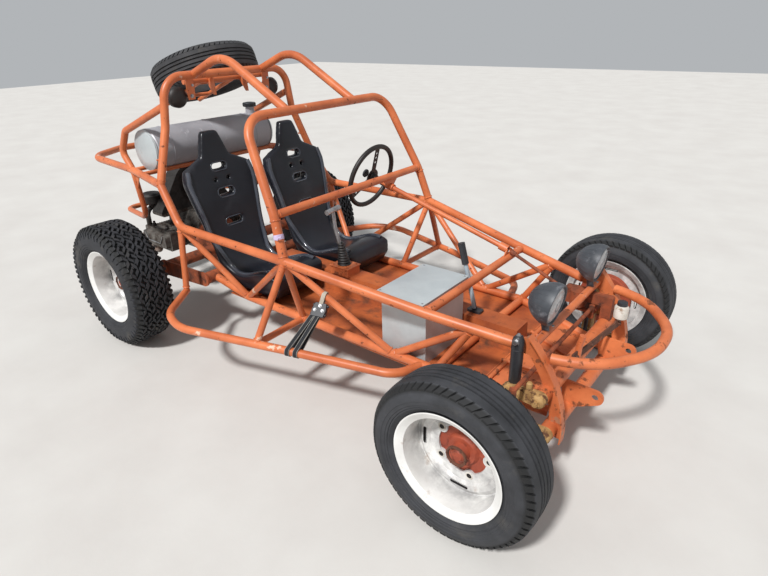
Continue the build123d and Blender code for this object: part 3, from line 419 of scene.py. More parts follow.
def tube(bm, points, radius, sides=10, closed=False):
    """a round tube along the points"""
    pts = [Vector(p) for p in points]
    count = len(pts)
    rings = []
    normal = None
    for i, point in enumerate(pts):
        before = pts[i - 1] if i or closed else point
        after = pts[(i + 1) % count] if i < count - 1 or closed else point
        along = (after - before).normalized()
        normal = along.orthogonal() if normal is None else normal - along * normal.dot(along)
        normal.normalize()
        side = along.cross(normal)
        spots = [point + (normal * math.cos(t) + side * math.sin(t)) * radius for t in turns(sides)]
        rings.append([bm.verts.new(spot) for spot in spots])
    pairs = list(zip(rings, rings[1:] + rings[:1])) if closed else list(zip(rings, rings[1:]))
    for a, b in pairs:
        for k in range(sides):
            bm.faces.new((a[k], a[(k + 1) % sides], b[(k + 1) % sides], b[k]))
    if not closed:
        bm.faces.new(rings[0][::-1])
        bm.faces.new(rings[-1])


# %% [markdown]
# Caps, lamps, pulleys and tyres are turned shapes: half of the section is a list
# of points, how far along the axis and how far out, and it is spun once round.

# %% Turned shapes


def turned(bm, profile, centre, axis, steps=48, closed=False):
    """a profile of (along, out) points turned round an axis"""
    centre, axis = Vector(centre), Vector(axis).normalized()
    u, w = axes(axis)
    rings = []
    for t in turns(steps):
        out = u * math.cos(t) + w * math.sin(t)
        rings.append([bm.verts.new(centre + axis * a + out * r) for a, r in profile])
    last = len(profile) if closed else len(profile) - 1
    for a, b in zip(rings, rings[1:] + rings[:1]):
        for i in range(last):
            j = (i + 1) % len(profile)
            bm.faces.new((a[i], b[i], b[j], a[j]))
    bmesh.ops.remove_doubles(bm, verts=bm.verts, dist=1e-6)


# %% [markdown]
# A block of tread stands on a cylinder, so its corners are placed by angle and
# radius. The draft makes its top a little smaller than its foot, as a mould must,
# and the skew leans it.

# %% Blocks of tread


def patch(bm, centre, axis, spans, angles, base, tops, skew=0.0, draft=0.0):
    """a block on a cylinder: span along it, two angles, foot radius, top radius at each end"""
    centre, axis = Vector(centre), Vector(axis).normalized()
    u, w = axes(axis)
    verts = []
    for level, d in ((0, 0.0), (1, draft)):
        for end, t, st in ((0, angles[0], 1), (1, angles[0], 1), (1, angles[1], -1), (0, angles[1], -1)):
            a = spans[end] + (d if end == 0 else -d)
            r = tops[end] if level else base
            t = t + skew * (a - (spans[0] + spans[1]) / 2) + st * d / r
            verts.append(bm.verts.new(centre + axis * a + (u * math.cos(t) + w * math.sin(t)) * r))
    bm.faces.new(verts[4:])
    for k in range(4):
        j = (k + 1) % 4
        bm.faces.new((verts[k], verts[j], verts[4 + j], verts[4 + k]))


# %% [markdown]
# Flat sheet parts start as an outline in a plane of their own. The same outline
# above and below, joined round the edge, makes the plate.

# %% Plates


def prism(bm, outline, centre, x_axis, y_axis, thickness):
    """a flat outline made into a plate, half its thickness to each side"""
    x_axis, y_axis = Vector(x_axis).normalized(), Vector(y_axis).normalized()
    up = x_axis.cross(y_axis) * thickness / 2
    flat = [Vector(centre) + x_axis * x + y_axis * y for x, y in outline]
    low = [bm.verts.new(p - up) for p in flat]
    top = [bm.verts.new(p + up) for p in flat]
    bm.faces.new(low[::-1])
    bm.faces.new(top)
    for k in range(len(flat)):
        j = (k + 1) % len(flat)
        bm.faces.new((low[k], low[j], top[j], top[k]))


# %% [markdown]
# Bolt heads are small and many, so each one is just a hexagon on a round washer,
# with no face underneath, where nobody can look.

# %% Bolts


def bolt(bm, at, axis, radius):
    """a hexagon head on a round washer, pointing along the axis"""
    at, axis = Vector(at), Vector(axis).normalized()
    u, w = axes(axis)
    washer = radius * 0.22
    for sides, size, start, height in ((18, radius * 1.45, 0.0, washer), (6, radius, washer, radius)):
        ring = [at + (u * math.cos(t) + w * math.sin(t)) * size for t in turns(sides)]
        low = [bm.verts.new(spot + axis * start) for spot in ring]
        top = [bm.verts.new(spot + axis * (start + height)) for spot in ring]
        bm.faces.new(top)
        for k in range(sides):
            j = (k + 1) % sides
            bm.faces.new((low[k], low[j], top[j], top[k]))


# %% [markdown]
# The last helper closes the mesh, turns its faces outwards, keeps edges sharper
# than 35 degrees crisp and smooths the rest, and puts the piece on its body.

# %% A mesh becomes a piece


def finish(name, bm, material, body, smooth=True, bevel=0.0):
    """the open mesh becomes a piece that rides on a body"""
    bmesh.ops.recalc_face_normals(bm, faces=bm.faces)
    mesh = bpy.data.meshes.new(name)
    bm.to_mesh(mesh)
    bm.free()
    piece = bpy.data.objects.new(name, mesh)
    scene.collection.objects.link(piece)
    mesh.materials.append(material)
    if bevel:
        shape = piece.modifiers.new("bevel", "BEVEL")
        shape.width = bevel
        shape.segments = 2
    if smooth:
        mesh.polygons.foreach_set("use_smooth", [True] * len(mesh.polygons))
        mesh.set_sharp_from_angle(angle=math.radians(35))
    print(name, len(mesh.polygons), "faces on", body)
    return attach(piece, body)


# %% [markdown]
# A tyre is moulded rubber: a bead on the rim, a side wall with raised rings, a
# shoulder and a crown. Its section is turned round the axle, and where the crown
# has grooves the section simply dips, which needs no cutting.

# %% The carcass of a tyre


def carcass(bm, centre, axis, radius, half, seat, depth, grooves=(), steps=128):
    """the tyre under its blocks: bead, side wall with rings, shoulder and a grooved crown"""
    side = [
        (seat, 0.190),
        (seat + 0.003, 0.206),
        (half - 0.011, 0.221),
        (half - 0.008, 0.224),
        (half - 0.0085, 0.229),
        (half - 0.005, 0.231),
        (half - 0.0045, 0.238),
        (half - 0.002, 0.240),
        (half - 0.001, 0.252),
        (half + 0.0008, 0.254),
        (half + 0.0005, 0.262),
        (half - 0.003, radius - 0.042),
        (half - 0.008, radius - 0.029),
        (half - 0.016, radius - 0.017 - depth / 3),
        (half - 0.030, radius - 0.006 - depth),
    ]
    top = radius if grooves else radius - depth
    crown = [(half - 0.033, top - 0.0025)]
    for a in grooves:
        crown += [(a + 0.0035, top), (a + 0.0025, top - 0.008), (a - 0.0025, top - 0.008), (a - 0.0035, top)]
    half_profile = side + crown
    profile = half_profile + [(-a, r) for a, r in reversed(half_profile)]
    turned(bm, profile, centre, axis, steps, closed=True)


# %% [markdown]
# Road tyres, in front and as the spare, have straight ribs, so only the lugs over
# the shoulders and the small bars on two ribs are blocks. A block could be bent
# into place by a modifier. Put there by its angles, it needs none, and keeps the
# few faces that a shape repeated hundreds of times may have.

# %% Road tread


def road_tread(bm, centre, axis, radius, half, depth, count):
    """lugs over both shoulders and short raised bars along two of the ribs"""
    step = 2 * math.pi / count
    for sign in (-1, 1):
        spans = (sign * (half - 0.033), sign * (half - 0.010))
        for k in range(count):
            start = (k + (0.5 if sign > 0 else 0)) * step
            ends = (start, start + step * 0.8)
            tops = (radius - 0.0022, radius - 0.0175)
            patch(bm, centre, axis, spans, ends, radius - 0.036, tops, sign * 2.5, 0.0012)
        for k in range(count * 2):
            ends = (k * step / 2, k * step / 2 + step * 0.42)
            spans = (sign * 0.0150, sign * 0.0260)
            patch(bm, centre, axis, spans, ends, radius - 0.008, (radius + 0.0006,) * 2, sign * 6.0)


# %% [markdown]
# The rear tyres are for dirt: seven rows of small blocks lean to and fro and
# lock into each other, and lugs reach down over the shoulders.

# %% Dirt tread


def dirt_tread(bm, centre, axis, radius, half, depth, count):
    """small interlocking blocks in seven rows and lugs that reach down over the shoulders"""
    edge = half - 0.026
    width = 2 * edge / 7
    step = 2 * math.pi / count
    for row in range(7):
        low = -edge + row * width + 0.0020
        high = low + width - 0.0040
        top = radius - (0.003 if row in (0, 6) else 0.0)
        for k in range(count):
            lean = 1 if (row + k // 2) % 2 else -1
            start = (k + 0.5 * (row % 2) + 0.12 * (k % 2)) * step
            share = 0.74 if (k + row) % 2 else 0.58
            ends = (start, start + step * share)
            patch(bm, centre, axis, (low, high), ends, top - depth - 0.004, (top, top), lean * 3.2, 0.0013)
            if (k + row) % 2 and row < 6:
                ends = (start + step * 0.10, start + step * 0.40)
                bridge = (high - 0.002, high + 0.006)
                tops = (top - 0.001,) * 2
                patch(bm, centre, axis, bridge, ends, top - depth - 0.004, tops, lean * 3.2, 0.0008)
    for sign in (-1, 1):
        for k in range(count):
            start = (k + (0.3 if sign > 0 else 0.8)) * step
            spans = (sign * (half - 0.028), sign * (half - 0.009))
            ends = (start, start + step * 0.62)
            tops = (radius - 0.003, radius - 0.021)
            patch(bm, centre, axis, spans, ends, radius - 0.045, tops, 0.0, 0.002)
            foot = radius - (0.058 if k % 2 else 0.046)
            spans = (sign * (half - 0.012), sign * (half + 0.0015))
            ends = (start, start + step * 0.50)
            tops = (radius - 0.024, radius - 0.030)
            patch(bm, centre, axis, spans, ends, foot, tops, 0.0, 0.0015)


# %% [markdown]
# Five tyres take the place of their plain solids. The spare lies aslant on its
# rack, so its axis leans back by 21 degrees.

# %% The five tyres


def tyre(node, body, centre, axis, radius, half, seat, tread, count, look):
    """a carcass with its tread, in place of a node; half is half its width, seat that of its bead"""
    bm = bmesh.new()
    road = tread is road_tread
    depth = 0.009 if road else 0.012
    carcass(bm, centre, axis, radius, half, seat, depth, (0.030, 0.011) if road else ())
    tread(bm, centre, axis, radius, half, depth, count)
    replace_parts(finish(f"{node}_tread", bm, look, body), node)


SPARE_AT, SPARE_AXIS = (-0.979, 0.090, 1.382), (-0.3584, 0, 0.9336)
rubber = MATERIALS["tyre"]
tyre("spare_tyre", "frame", SPARE_AT, SPARE_AXIS, FRONT_R, 0.088, 0.055, road_tread, 64, rubber)
for end, x, y, radius, half, seat, tread, count, look in (
    ("front", AXLE_F, 0.765, FRONT_R, 0.095, 0.067, road_tread, 64, FRONT_TYRE),
    ("rear", AXLE_R, 0.749, REAR_R, 0.111, 0.076, dirt_tread, 62, REAR_TYRE),
):
    for side, sign in SIDES:
        node, body = f"tyre_{end}_{side}", f"wheel_{end}_{side}"
        tyre(node, body, (x, sign * y, radius), (0, sign, 0), radius, half, seat, tread, count, look)

# %% [markdown]
# A strap is a closed loop of small rectangles, used for the walls of painted shade
# in the wheel vents, the belts and the fan belt.

# %% Straps


def ribbon(bm, path, across, half, thick):
    """a flat closed strap along a path, its width along one direction"""
    across = Vector(across).normalized() * half
    pts = [Vector(p) for p in path]
    rings = []
    for i, point in enumerate(pts):
        ahead = (pts[(i + 1) % len(pts)] - pts[i - 1]).normalized()
        out = ahead.cross(across).normalized() * thick / 2
        corners = ((across, out), (-across, out), (-across, -out), (across, -out))
        rings.append([bm.verts.new(point + a + b) for a, b in corners])
    for a, b in zip(rings, rings[1:] + rings[:1]):
        for k in range(4):
            bm.faces.new((a[k], a[(k + 1) % 4], b[(k + 1) % 4], b[k]))


# %% [markdown]
# A steel wheel is a pressed disc welded into a rolled dish. Each one gets a
# rubber valve, the weld ring, a rusty hub ring with small heads, lug holes darkened
# by painted shade, with their pressed seats, and walls of painted shade in its
# four vents. All of it rides on the wheel's body, so that it turns with the wheel.

# %% Wheel fittings
DISH = 0.120
LUG_CIRCLE, VENT_CIRCLE = 0.1025, 0.146
for end, x, lip, radius in (("front", AXLE_F, 0.845, FRONT_R), ("rear", AXLE_R, 0.838, REAR_R)):
    for side, sign in SIDES:
        body = f"wheel_{end}_{side}"
        out = Vector((0, sign, 0))
        centre = Vector((x, 0, radius))
        back = lip - DISH
        cap = lip - 0.0725

        def at(reach, angle, deep):
            """a point on the wheel: distance from the axle, angle, distance from the middle plane"""
            t = math.radians(angle)
            return centre + Vector((reach * math.cos(t), sign * deep, reach * math.sin(t)))

        bm = bmesh.new()
        stem = ((0.160, 0.006), (0.163, 0.030), (0.172, 0.046))
        tube(bm, [at(reach, 64, back + deep) for reach, deep in stem], 0.0055, 12)
        tube(bm, [at(0.172, 64, back + 0.046), at(0.178, 64, back + 0.054)], 0.0075, 12)
        finish(f"valve_{end}_{side}", bm, MATERIALS["grip_black"], body)
        bm = bmesh.new()
        ring = [at(0.1765, 360 * k / 72, back + 0.0085) for k in range(72)]
        tube(bm, ring, 0.004, 8, closed=True)
        finish(f"weld_ring_{end}_{side}", bm, MATERIALS["wheel_white"], body)
        bm = bmesh.new()
        ring = ((-0.004, 0.040), (0.0025, 0.039), (0.004, 0.034), (0.0005, 0.031), (-0.004, 0.030))
        turned(bm, [(cap + a, r) for a, r in ring], centre, out, 48)
        for k in range(6):
            bolt(bm, at(0.0355, 60 * k, cap + 0.002), out, 0.003)
        finish(f"hub_ring_{end}_{side}", bm, RUST, body)
        bm = bmesh.new()
        # painted shade: a dark disc deep in each lug hole
        hollow = ((-0.002, 0.0), (-0.002, 0.0098), (0.0, 0.0098), (0.0, 0.0))
        for k in range(5):
            turned(bm, hollow, at(LUG_CIRCLE, 72 * k, back + 0.0084), out, 24)
        finish(f"lug_hole_shade_{end}_{side}", bm, SHADOW, body)
        bm = bmesh.new()
        cone = ((-0.002, 0.0155), (0.0008, 0.0150), (0.0022, 0.0125), (0.0012, 0.0098), (-0.002, 0.0097))
        for k in range(5):
            turned(bm, cone, at(LUG_CIRCLE, 72 * k, back + 0.008), out, 24, closed=True)
        finish(f"lug_seats_{end}_{side}", bm, DIRTY_WHITE, body)
        bm = bmesh.new()
        # painted shade: dark walls inside the four vents
        for k in range(4):
            spots = []
            for t in turns(24):
                reach = VENT_CIRCLE + 0.0065 * math.cos(t)
                slide = (0.0285 if math.sin(t) > 0 else -0.0285) + 0.0065 * math.sin(t)
                spots.append(at(reach, 90 * k + math.degrees(slide / VENT_CIRCLE), back + 0.0105))
            ribbon(bm, spots, out, 0.0100, 0.0012)
        finish(f"vent_wall_shade_{end}_{side}", bm, SHADOW, body, smooth=False)

# %% [markdown]
# The seats are hard moulded shells with soft corners, one half of the solid each.
# A bevel would round them too, but it breaks where slots and thin rims meet. A
# remesh in 6 mm cells with some smoothing rounds every edge alike, as moulding
# does. The waist is then drawn a little wider, as in the photograph.

# %% Seats


def share_between(value, low, high):
    """0 at the low end, 1 at the high end, and no less or more outside"""
    return max(0.0, min(1.0, (value - low) / (high - low)))


SEAT_BASE, SEAT_Y = 0.341, 0.233
shells = []
for side, sign in SIDES:
    bm = bmesh.new()
    bm.from_mesh(nodes["seats"].data)
    bmesh.ops.delete(bm, geom=[v for v in bm.verts if v.co.y * sign < 0], context="VERTS")
    rough = finish(f"seat_{side}_rough", bm, MATERIALS["seat_black"], "frame")
    rough.modifiers.new("even", "REMESH").voxel_size = 0.006
    soft = rough.modifiers.new("soft", "SMOOTH")
    soft.factor = 0.5
    soft.iterations = 30
    graph = bpy.context.evaluated_depsgraph_get()
    bm = bmesh.new()
    bm.from_mesh(rough.evaluated_get(graph).to_mesh())
    bpy.data.objects.remove(rough)
    for vert in bm.verts:
        level = vert.co.z - SEAT_BASE
        swell = share_between(level, 0.04, 0.12) * share_between(level, 0.50, 0.28)
        vert.co.y += (vert.co.y - sign * SEAT_Y) * 0.13 * swell
    shells.append(finish(f"seat_{side}", bm, MATERIALS["seat_black"], "frame"))
    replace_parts(shells[-1], "seats")

# %% [markdown]
# What lies on a seat has to follow its form. A straight line shot at the shell
# tells where it meets the surface, and a small table of heights and widths tells
# where to aim.

# %% Places on a seat


def along(table, want):
    """the value at a place in a table of (key, value) pairs"""
    for (k0, v0), (k1, v1) in zip(table, table[1:]):
        if k0 <= want <= k1:
            return v0 + (v1 - v0) * (want - k0) / (k1 - k0)
    return table[0][1] if want < table[0][0] else table[-1][1]


def on_seat(shell, start, direction):
    """the place where a straight line meets a seat, or None"""
    hit, place, normal, face = shell.ray_cast(Vector(start), Vector(direction))
    return place if hit else None


# %% [markdown]
# A glossy roll follows the raised sides of each seat, where the plastic is worn
# smooth: down onto the cushion, then back onto the backrest. A thin roll follows
# the rim of each of the three slots. Both are a lighter grey than the seat, a
# painted highlight.

# %% Rolls on the seats
HALF_WIDTH = (
    (-0.02, 0.155),
    (0.12, 0.175),
    (0.28, 0.190),
    (0.32, 0.192),
    (0.53, 0.223),
    (0.60, 0.209),
    (0.655, 0.091),
    (0.71, 0.075),
    (0.785, 0.049),
)
SLOTS = ((0.600, 0.084, 0.030), (0.464, 0.092, 0.034), (0.308, 0.096, 0.030))
ROLL_HEIGHTS = (0.250, 0.300, 0.350, 0.400, 0.450, 0.500, 0.540, 0.575, 0.600)
for shell, side, sign, front in ((shells[0], "left", 1, 0.132), (shells[1], "right", -1, 0.037)):
    middle = sign * SEAT_Y
    for edge in (-1, 1):
        path = []
        for step in range(17):
            above_it = (front - 0.02 - step * 0.024, middle + edge * 0.141, 1.0)
            path.append(on_seat(shell, above_it, (0, 0, -1)))
        path = [p for p in path if p and p.z < SEAT_BASE + 0.235]
        for height in ROLL_HEIGHTS:
            half = along(HALF_WIDTH, height) - 0.015
            path.append(on_seat(shell, (1.0, middle + edge * half, SEAT_BASE + height), (-1, 0, 0)))
        path = [p for p in path if p and front - 0.62 < p.x < front + 0.01]
        bm = bmesh.new()
        tube(bm, path, 0.0125, 14)
        finish(f"seat_rim_{side}_{'a' if edge < 0 else 'b'}", bm, GLOSS_HIGHLIGHT, "frame")
    for number, (height, width, tall) in enumerate(SLOTS):
        corner = tall / 2 + 0.008
        ring = []
        for k in range(40):
            t = 2 * math.pi * (k + 0.5) / 40
            y = (width / 2 + 0.009 - corner) * (1 if math.cos(t) > 0 else -1) + corner * math.cos(t)
            before_it = (1.0, middle + y, SEAT_BASE + height + corner * math.sin(t))
            ring.append(on_seat(shell, before_it, (-1, 0, 0)))
        bm = bmesh.new()
        tube(bm, [p for p in ring if p], 0.0035, 8, closed=True)
        finish(f"seat_slot_{side}_{number}", bm, GLOSS_HIGHLIGHT, "frame")

# %% [markdown]
# The tank is rolled sheet with pressed ends welded on, and a sleeve in the
# middle. The weld seams could be a bump in the paint, but thin rings catch the
# light and stay in the exported mesh. Turned dishes make the paler ends, and the
# black cap has a grip of 24 small ribs.

# %% Fuel tank
TANK_X, TANK_Z, TANK_R, TANK_HALF = -0.928, 1.013, 0.116, 0.416
CAP_Y, CAP_Z, CAP_R = 0.340, 1.166, 0.0405
for place, y in (("right", -0.305), ("left", 0.285), ("middle", -0.01)):
    bm = bmesh.new()
    ring = [(TANK_X + math.cos(t) * TANK_R, y, TANK_Z + math.sin(t) * TANK_R) for t in turns(72)]
    tube(bm, ring, 0.0016 if place == "middle" else 0.0022, 8, closed=True)
    finish(f"tank_seam_{place}", bm, TANK, "frame")
for place, sign in (("right", -1), ("left", 1)):
    bm = bmesh.new()
    profile = ((-0.010, 0.1135), (0.0005, 0.111), (0.0035, 0.104), (0.0045, 0.060), (0.005, 0.0))
    turned(bm, profile, (TANK_X, sign * TANK_HALF, TANK_Z), (0, sign, 0), 64)
    finish(f"tank_end_{place}", bm, SHEET, "frame")
bm = bmesh.new()
cap = (
    (0.0, 0.0),
    (0.0, 0.0395),
    (0.002, CAP_R),
    (0.020, CAP_R),
    (0.023, 0.038),
    (0.0235, 0.024),
    (0.026, 0.020),
    (0.026, 0.0),
)
turned(bm, cap, (TANK_X, CAP_Y, CAP_Z), (0, 0, 1), 48)
for t in turns(24):
    out = Vector((math.cos(t), math.sin(t), 0))
    tube(bm, [Vector((TANK_X, CAP_Y, z)) + out * CAP_R for z in (1.168, 1.186)], 0.0016, 6)
finish("tank_cap", bm, MATERIALS["black_metal"], "frame")

# %% [markdown]
# Two black lamps with red lenses hang on plates behind the top of the rear hoop,
# each with its bracket and two bolts, and a thin tube joins the plates' hoop ends.

# %% Rear lamps
for side, y, plate_y in (("right", -0.300, -0.238), ("left", 0.338, 0.276)):
    lamp = Vector((-0.697, y, 1.296))
    bm = bmesh.new()
    shell = (
        (-0.030, 0.0),
        (-0.030, 0.046),
        (-0.026, 0.053),
        (0.000, 0.054),
        (0.008, 0.050),
        (0.020, 0.036),
        (0.026, 0.0),
    )
    turned(bm, shell, lamp, (1, 0, 0), 40)
    inner = y + (0.044 if y < 0 else -0.044)
    tube(bm, [(-0.697, inner, 1.299), (-0.688, plate_y, 1.299), (-0.674, plate_y, 1.299)], 0.007, 12)
    finish(f"rear_lamp_{side}", bm, MATERIALS["grip_black"], "frame")
    bm = bmesh.new()
    lens = ((0.030, 0.0), (0.030, 0.040), (0.034, 0.038), (0.037, 0.024), (0.038, 0.0))
    turned(bm, lens, lamp, (-1, 0, 0), 40)
    finish(f"rear_lens_{side}", bm, RED, "frame")
    bm = bmesh.new()
    outline = [
        (-0.020, -0.125),
        (0.020, -0.125),
        (0.024, -0.060),
        (0.024, -0.004),
        (-0.024, -0.004),
        (-0.024, -0.060),
    ]
    prism(bm, outline, (-0.666, plate_y, 1.405), (0, 1, 0), (0, 0, 1), 0.006)
    finish(f"lamp_plate_{side}", bm, MATERIALS["frame_orange"], "frame", smooth=False, bevel=0.001)
    bm = bmesh.new()
    bolt(bm, (-0.6625, plate_y, 1.299), (1, 0, 0), 0.007)
    bolt(bm, (-0.6625, plate_y + 0.012, 1.352), (1, 0, 0), 0.005)
    finish(f"lamp_bolts_{side}", bm, STEEL, "frame", smooth=False)
bm = bmesh.new()
tube(bm, [(-0.688, y, 1.370) for y in (-0.262, 0.300)], 0.014, 16)
finish("lamp_crossbar", bm, MATERIALS["frame_orange"], "frame")

# %% [markdown]
# Two belts are looped round the right side bar and run up to a buckle. A cloth
# simulation could drape them, but a pulled strap has only one shape: it goes
# round most of the tube and then straight to what pulls it.

# %% A loop round a tube


def loop_round(start, radius, target, across, steps=20):
    """a path round a tube and up to a target point, as a pulled strap lies"""
    start, target = Vector(start), Vector(target)
    across = Vector(across).normalized()
    up = target - start
    up = (up - across * up.dot(across)).normalized()
    side = across.cross(up)
    path = []
    for k in range(steps + 1):
        t = math.radians(10 - 200 * k / steps)
        path.append(start + side * math.cos(t) * radius + up * math.sin(t) * radius)
    return path + [target - side * 0.004, target + side * 0.004]


# %% [markdown]
# Each belt is flat woven nylon, a dark strap with a pale strip on both edges, a
# painted highlight. It is pulled tight, so it doesn't sag.

# %% Belts on the side bar
BAR_ALONG = Vector((0.953, 0.296, -0.025))
BUCKLE = Vector((0.508, -0.540, 0.513))
HALF_BELT = 0.0095
for name, shift in (("first", -0.022), ("second", 0.018)):
    start = Vector((0.470, -0.684, 0.348)) + BAR_ALONG * shift
    path = loop_round(start, 0.0215, BUCKLE + BAR_ALONG * shift * 0.5, BAR_ALONG)
    bm = bmesh.new()
    ribbon(bm, path, BAR_ALONG, HALF_BELT, 0.003)
    finish(f"belt_{name}", bm, WEBBING, "frame", smooth=False)
    for edge in (-HALF_BELT, HALF_BELT):
        bm = bmesh.new()
        ribbon(bm, [p + BAR_ALONG * edge for p in path], BAR_ALONG, 0.0012, 0.0042)
        finish(f"belt_{name}_edge_{'a' if edge < 0 else 'b'}", bm, BELT_HIGHLIGHT, "frame", smooth=False)

# %% [markdown]
# The buckle is a black plate with a rounded outline, a roller at each end and
# three rivets. It hangs between its belts and the band round the strut.

# %% Band and buckle
STRUT_ALONG = Vector((0.929, 0.307, -0.206))
HOLD = Vector((0.503, -0.503, 0.5565))
path = loop_round(HOLD, 0.0185, BUCKLE + Vector((0.0, 0.004, 0.012)), STRUT_ALONG)
bm = bmesh.new()
ribbon(bm, path, STRUT_ALONG, 0.009, 0.003)
finish("pale_band", bm, OLD_BAND, "frame", smooth=False)
up = (HOLD - BUCKLE).normalized()
bm = bmesh.new()
outline = [
    (-0.030, -0.040), (0.030, -0.040), (0.034, -0.010), (0.026, 0.022), (-0.026, 0.022), (-0.034, -0.010)
]
prism(bm, outline, BUCKLE, BAR_ALONG, up, 0.022)
for y in (-0.028, 0.012):
    tube(bm, [BUCKLE + BAR_ALONG * x + up * y for x in (-0.037, 0.037)], 0.006, 12)
finish("buckle", bm, MATERIALS["black_metal"], "frame", smooth=False, bevel=0.003)
out = BAR_ALONG.cross(up).normalized()
bm = bmesh.new()
for x, y in ((-0.018, -0.012), (0.018, -0.012), (0.0, 0.008)):
    bolt(bm, BUCKLE + BAR_ALONG * x + up * y + out * 0.011, out, 0.005)
finish("buckle_rivets", bm, STEEL, "frame", smooth=False)

# %% [markdown]
# A strip of lilac tape is tied round the right leg of the front hoop. It is
# turned round the leg's own line, so that it sits square on it, and its short
# loose end is a thin tube, because tape rolls up at its end.

# %% Tie on the hoop
LEG_LOW, LEG_TOP = Vector((0.327, -0.561, 0.694)), Vector((0.264, -0.538, 0.886))
leg = (LEG_TOP - LEG_LOW).normalized()
bm = bmesh.new()
tie = ((-0.011, 0.0212), (-0.010, 0.0232), (0.0, 0.0238), (0.010, 0.0232), (0.011, 0.0212))
turned(bm, tie, LEG_LOW.lerp(LEG_TOP, 0.54), leg, 32)
knot = LEG_LOW.lerp(LEG_TOP, 0.54) + Vector((0.012, -0.020, 0.0))
loose = ((0, 0, -0.006), (0.010, -0.006, 0.0), (0.016, -0.004, 0.010), (0.026, 0.002, 0.014))
tube(bm, [knot + Vector(p) for p in loose], 0.0035, 8)
finish("hoop_tie", bm, LILAC, "frame")

# %% [markdown]
# The nose holds a yellowed fluid reservoir, a rusty flat bar across the towers
# and a short orange post. The bar is a notched outline made into a plate.

# %% Nose fittings
JAR_AT = (1.541, 0.248, 0.452)
NOSE_BAR = Vector((1.512, 0.060, 0.426))
NOSE_ACROSS = Vector((0.126, 0.992, 0))
bm = bmesh.new()
jar = (
    (0.0, 0.0),
    (0.0, 0.026),
    (0.004, 0.030),
    (0.050, 0.030),
    (0.056, 0.027),
    (0.060, 0.020),
    (0.062, 0.020),
    (0.062, 0.0),
)
turned(bm, jar, JAR_AT, (0, 0, 1), 36)
finish("reservoir", bm, DIRTY_WHITE, "frame")
bm = bmesh.new()
lid = ((0.062, 0.0), (0.062, 0.022), (0.076, 0.021), (0.078, 0.018), (0.078, 0.0))
turned(bm, lid, JAR_AT, (0, 0, 1), 36)
finish("reservoir_cap", bm, MATERIALS["black_metal"], "frame")
bm = bmesh.new()
upper = [(0.213, 0.020), (0.16, 0.020), (0.15, 0.012), (-0.15, 0.012), (-0.16, 0.020), (-0.213, 0.020)]
prism(bm, [(-0.213, -0.020), (0.213, -0.020)] + upper, NOSE_BAR, NOSE_ACROSS, (0, 0, 1), 0.007)
for y in (-0.185, -0.06, 0.185):
    bolt(bm, NOSE_BAR + NOSE_ACROSS * y + Vector((0.0035, 0, 0)), (1, -0.12, 0), 0.008)
finish("nose_bar", bm, RUST, "frame", smooth=False, bevel=0.001)
bm = bmesh.new()
tube(bm, [(1.490, -0.100, 0.408), (1.492, -0.100, 0.470), (1.500, -0.100, 0.512)], 0.013, 16)
finish("nose_post", bm, MATERIALS["frame_orange"], "frame")

# %% [markdown]
# The lens of a head lamp is pressed glass. It bulges and has eleven upright
# flutes, which follow the bulge as real ribs and so catch the light. It stays
# opaque, as pressed glass hides what lies behind it. Lamps look down by eight
# degrees.

# %% The lens of a head lamp
TILT = math.radians(8)
LAMP_AXIS = Vector((math.cos(TILT), 0, -math.sin(TILT)))
LAMP_UP = Vector((math.sin(TILT), 0, math.cos(TILT)))
FLUTE = 0.0115


def lamp_lens(side, middle):
    """a bulging lens with its flutes"""
    bm = bmesh.new()
    glass = ((0.0012, 0.0), (-0.0015, 0.036), (-0.0055, 0.058), (-0.0105, 0.071), (-0.0135, 0.0735))
    turned(bm, glass, middle, LAMP_AXIS, 56)
    for k in range(-5, 6):
        aside = FLUTE * k
        reach = math.sqrt(0.068**2 - aside**2)
        line = []
        for part in range(9):
            z = reach * (part / 4 - 1)
            drop = 0.0105 * ((z * z + aside**2) / 0.071**2)
            line.append(middle + LAMP_AXIS * (0.0006 - drop) + Vector((0, aside, 0)) + LAMP_UP * z)
        tube(bm, line, 0.0012, 6)
    finish(f"lens_{side}", bm, LENS, "frame")


# %% [markdown]
# The bowl is pressed steel in black enamel, deep like half an egg, with 24 fine
# ribs towards its back. They are thin tubes that follow the bowl's own section.

# %% The bowl of a head lamp


def lamp_bowl(side, middle):
    """the bowl behind the lens, with its ribs"""
    bm = bmesh.new()
    bowl = (
        (-0.018, 0.0845),
        (-0.030, 0.0840),
        (-0.046, 0.0795),
        (-0.062, 0.0725),
        (-0.078, 0.0625),
        (-0.092, 0.0500),
        (-0.103, 0.0340),
        (-0.110, 0.0170),
        (-0.112, 0.0),
    )
    turned(bm, bowl, middle, LAMP_AXIS, 56)
    u, w = axes(LAMP_AXIS)
    for t in turns(24):
        arm = u * math.cos(t) + w * math.sin(t)
        tube(bm, [middle + LAMP_AXIS * a + arm * (r - 0.0006) for a, r in bowl[1:7]], 0.0014, 6)
    finish(f"lamp_bowl_{side}", bm, LAMP, "frame")


# %% [markdown]
# A rim ring clamps the lens to the bowl, and two bolts hold the lamp to its
# bracket: a large one below the bowl and a small one under the rim.

# %% Head lamps
for side, y in (("left", 0.262), ("right", -0.218)):
    middle = Vector((1.429, y, 0.668))
    lamp_lens(side, middle)
    lamp_bowl(side, middle)
    bm = bmesh.new()
    ring = (
        (-0.016, 0.0735),
        (-0.006, 0.0745),
        (-0.003, 0.0785),
        (-0.005, 0.0825),
        (-0.019, 0.0845),
        (-0.022, 0.0835),
    )
    turned(bm, ring, middle, LAMP_AXIS, 56)
    finish(f"lamp_ring_{side}", bm, LAMP, "frame")
    bm = bmesh.new()
    bolt(bm, middle - LAMP_AXIS * 0.040 + Vector((0, 0, -0.0665)), (0, 0, -1), 0.011)
    bolt(bm, middle - LAMP_AXIS * 0.010 + Vector((0, 0, -0.084)), (0, 0, -1), 0.004)
    finish(f"lamp_bolts_front_{side}", bm, STEEL, "frame", smooth=False)

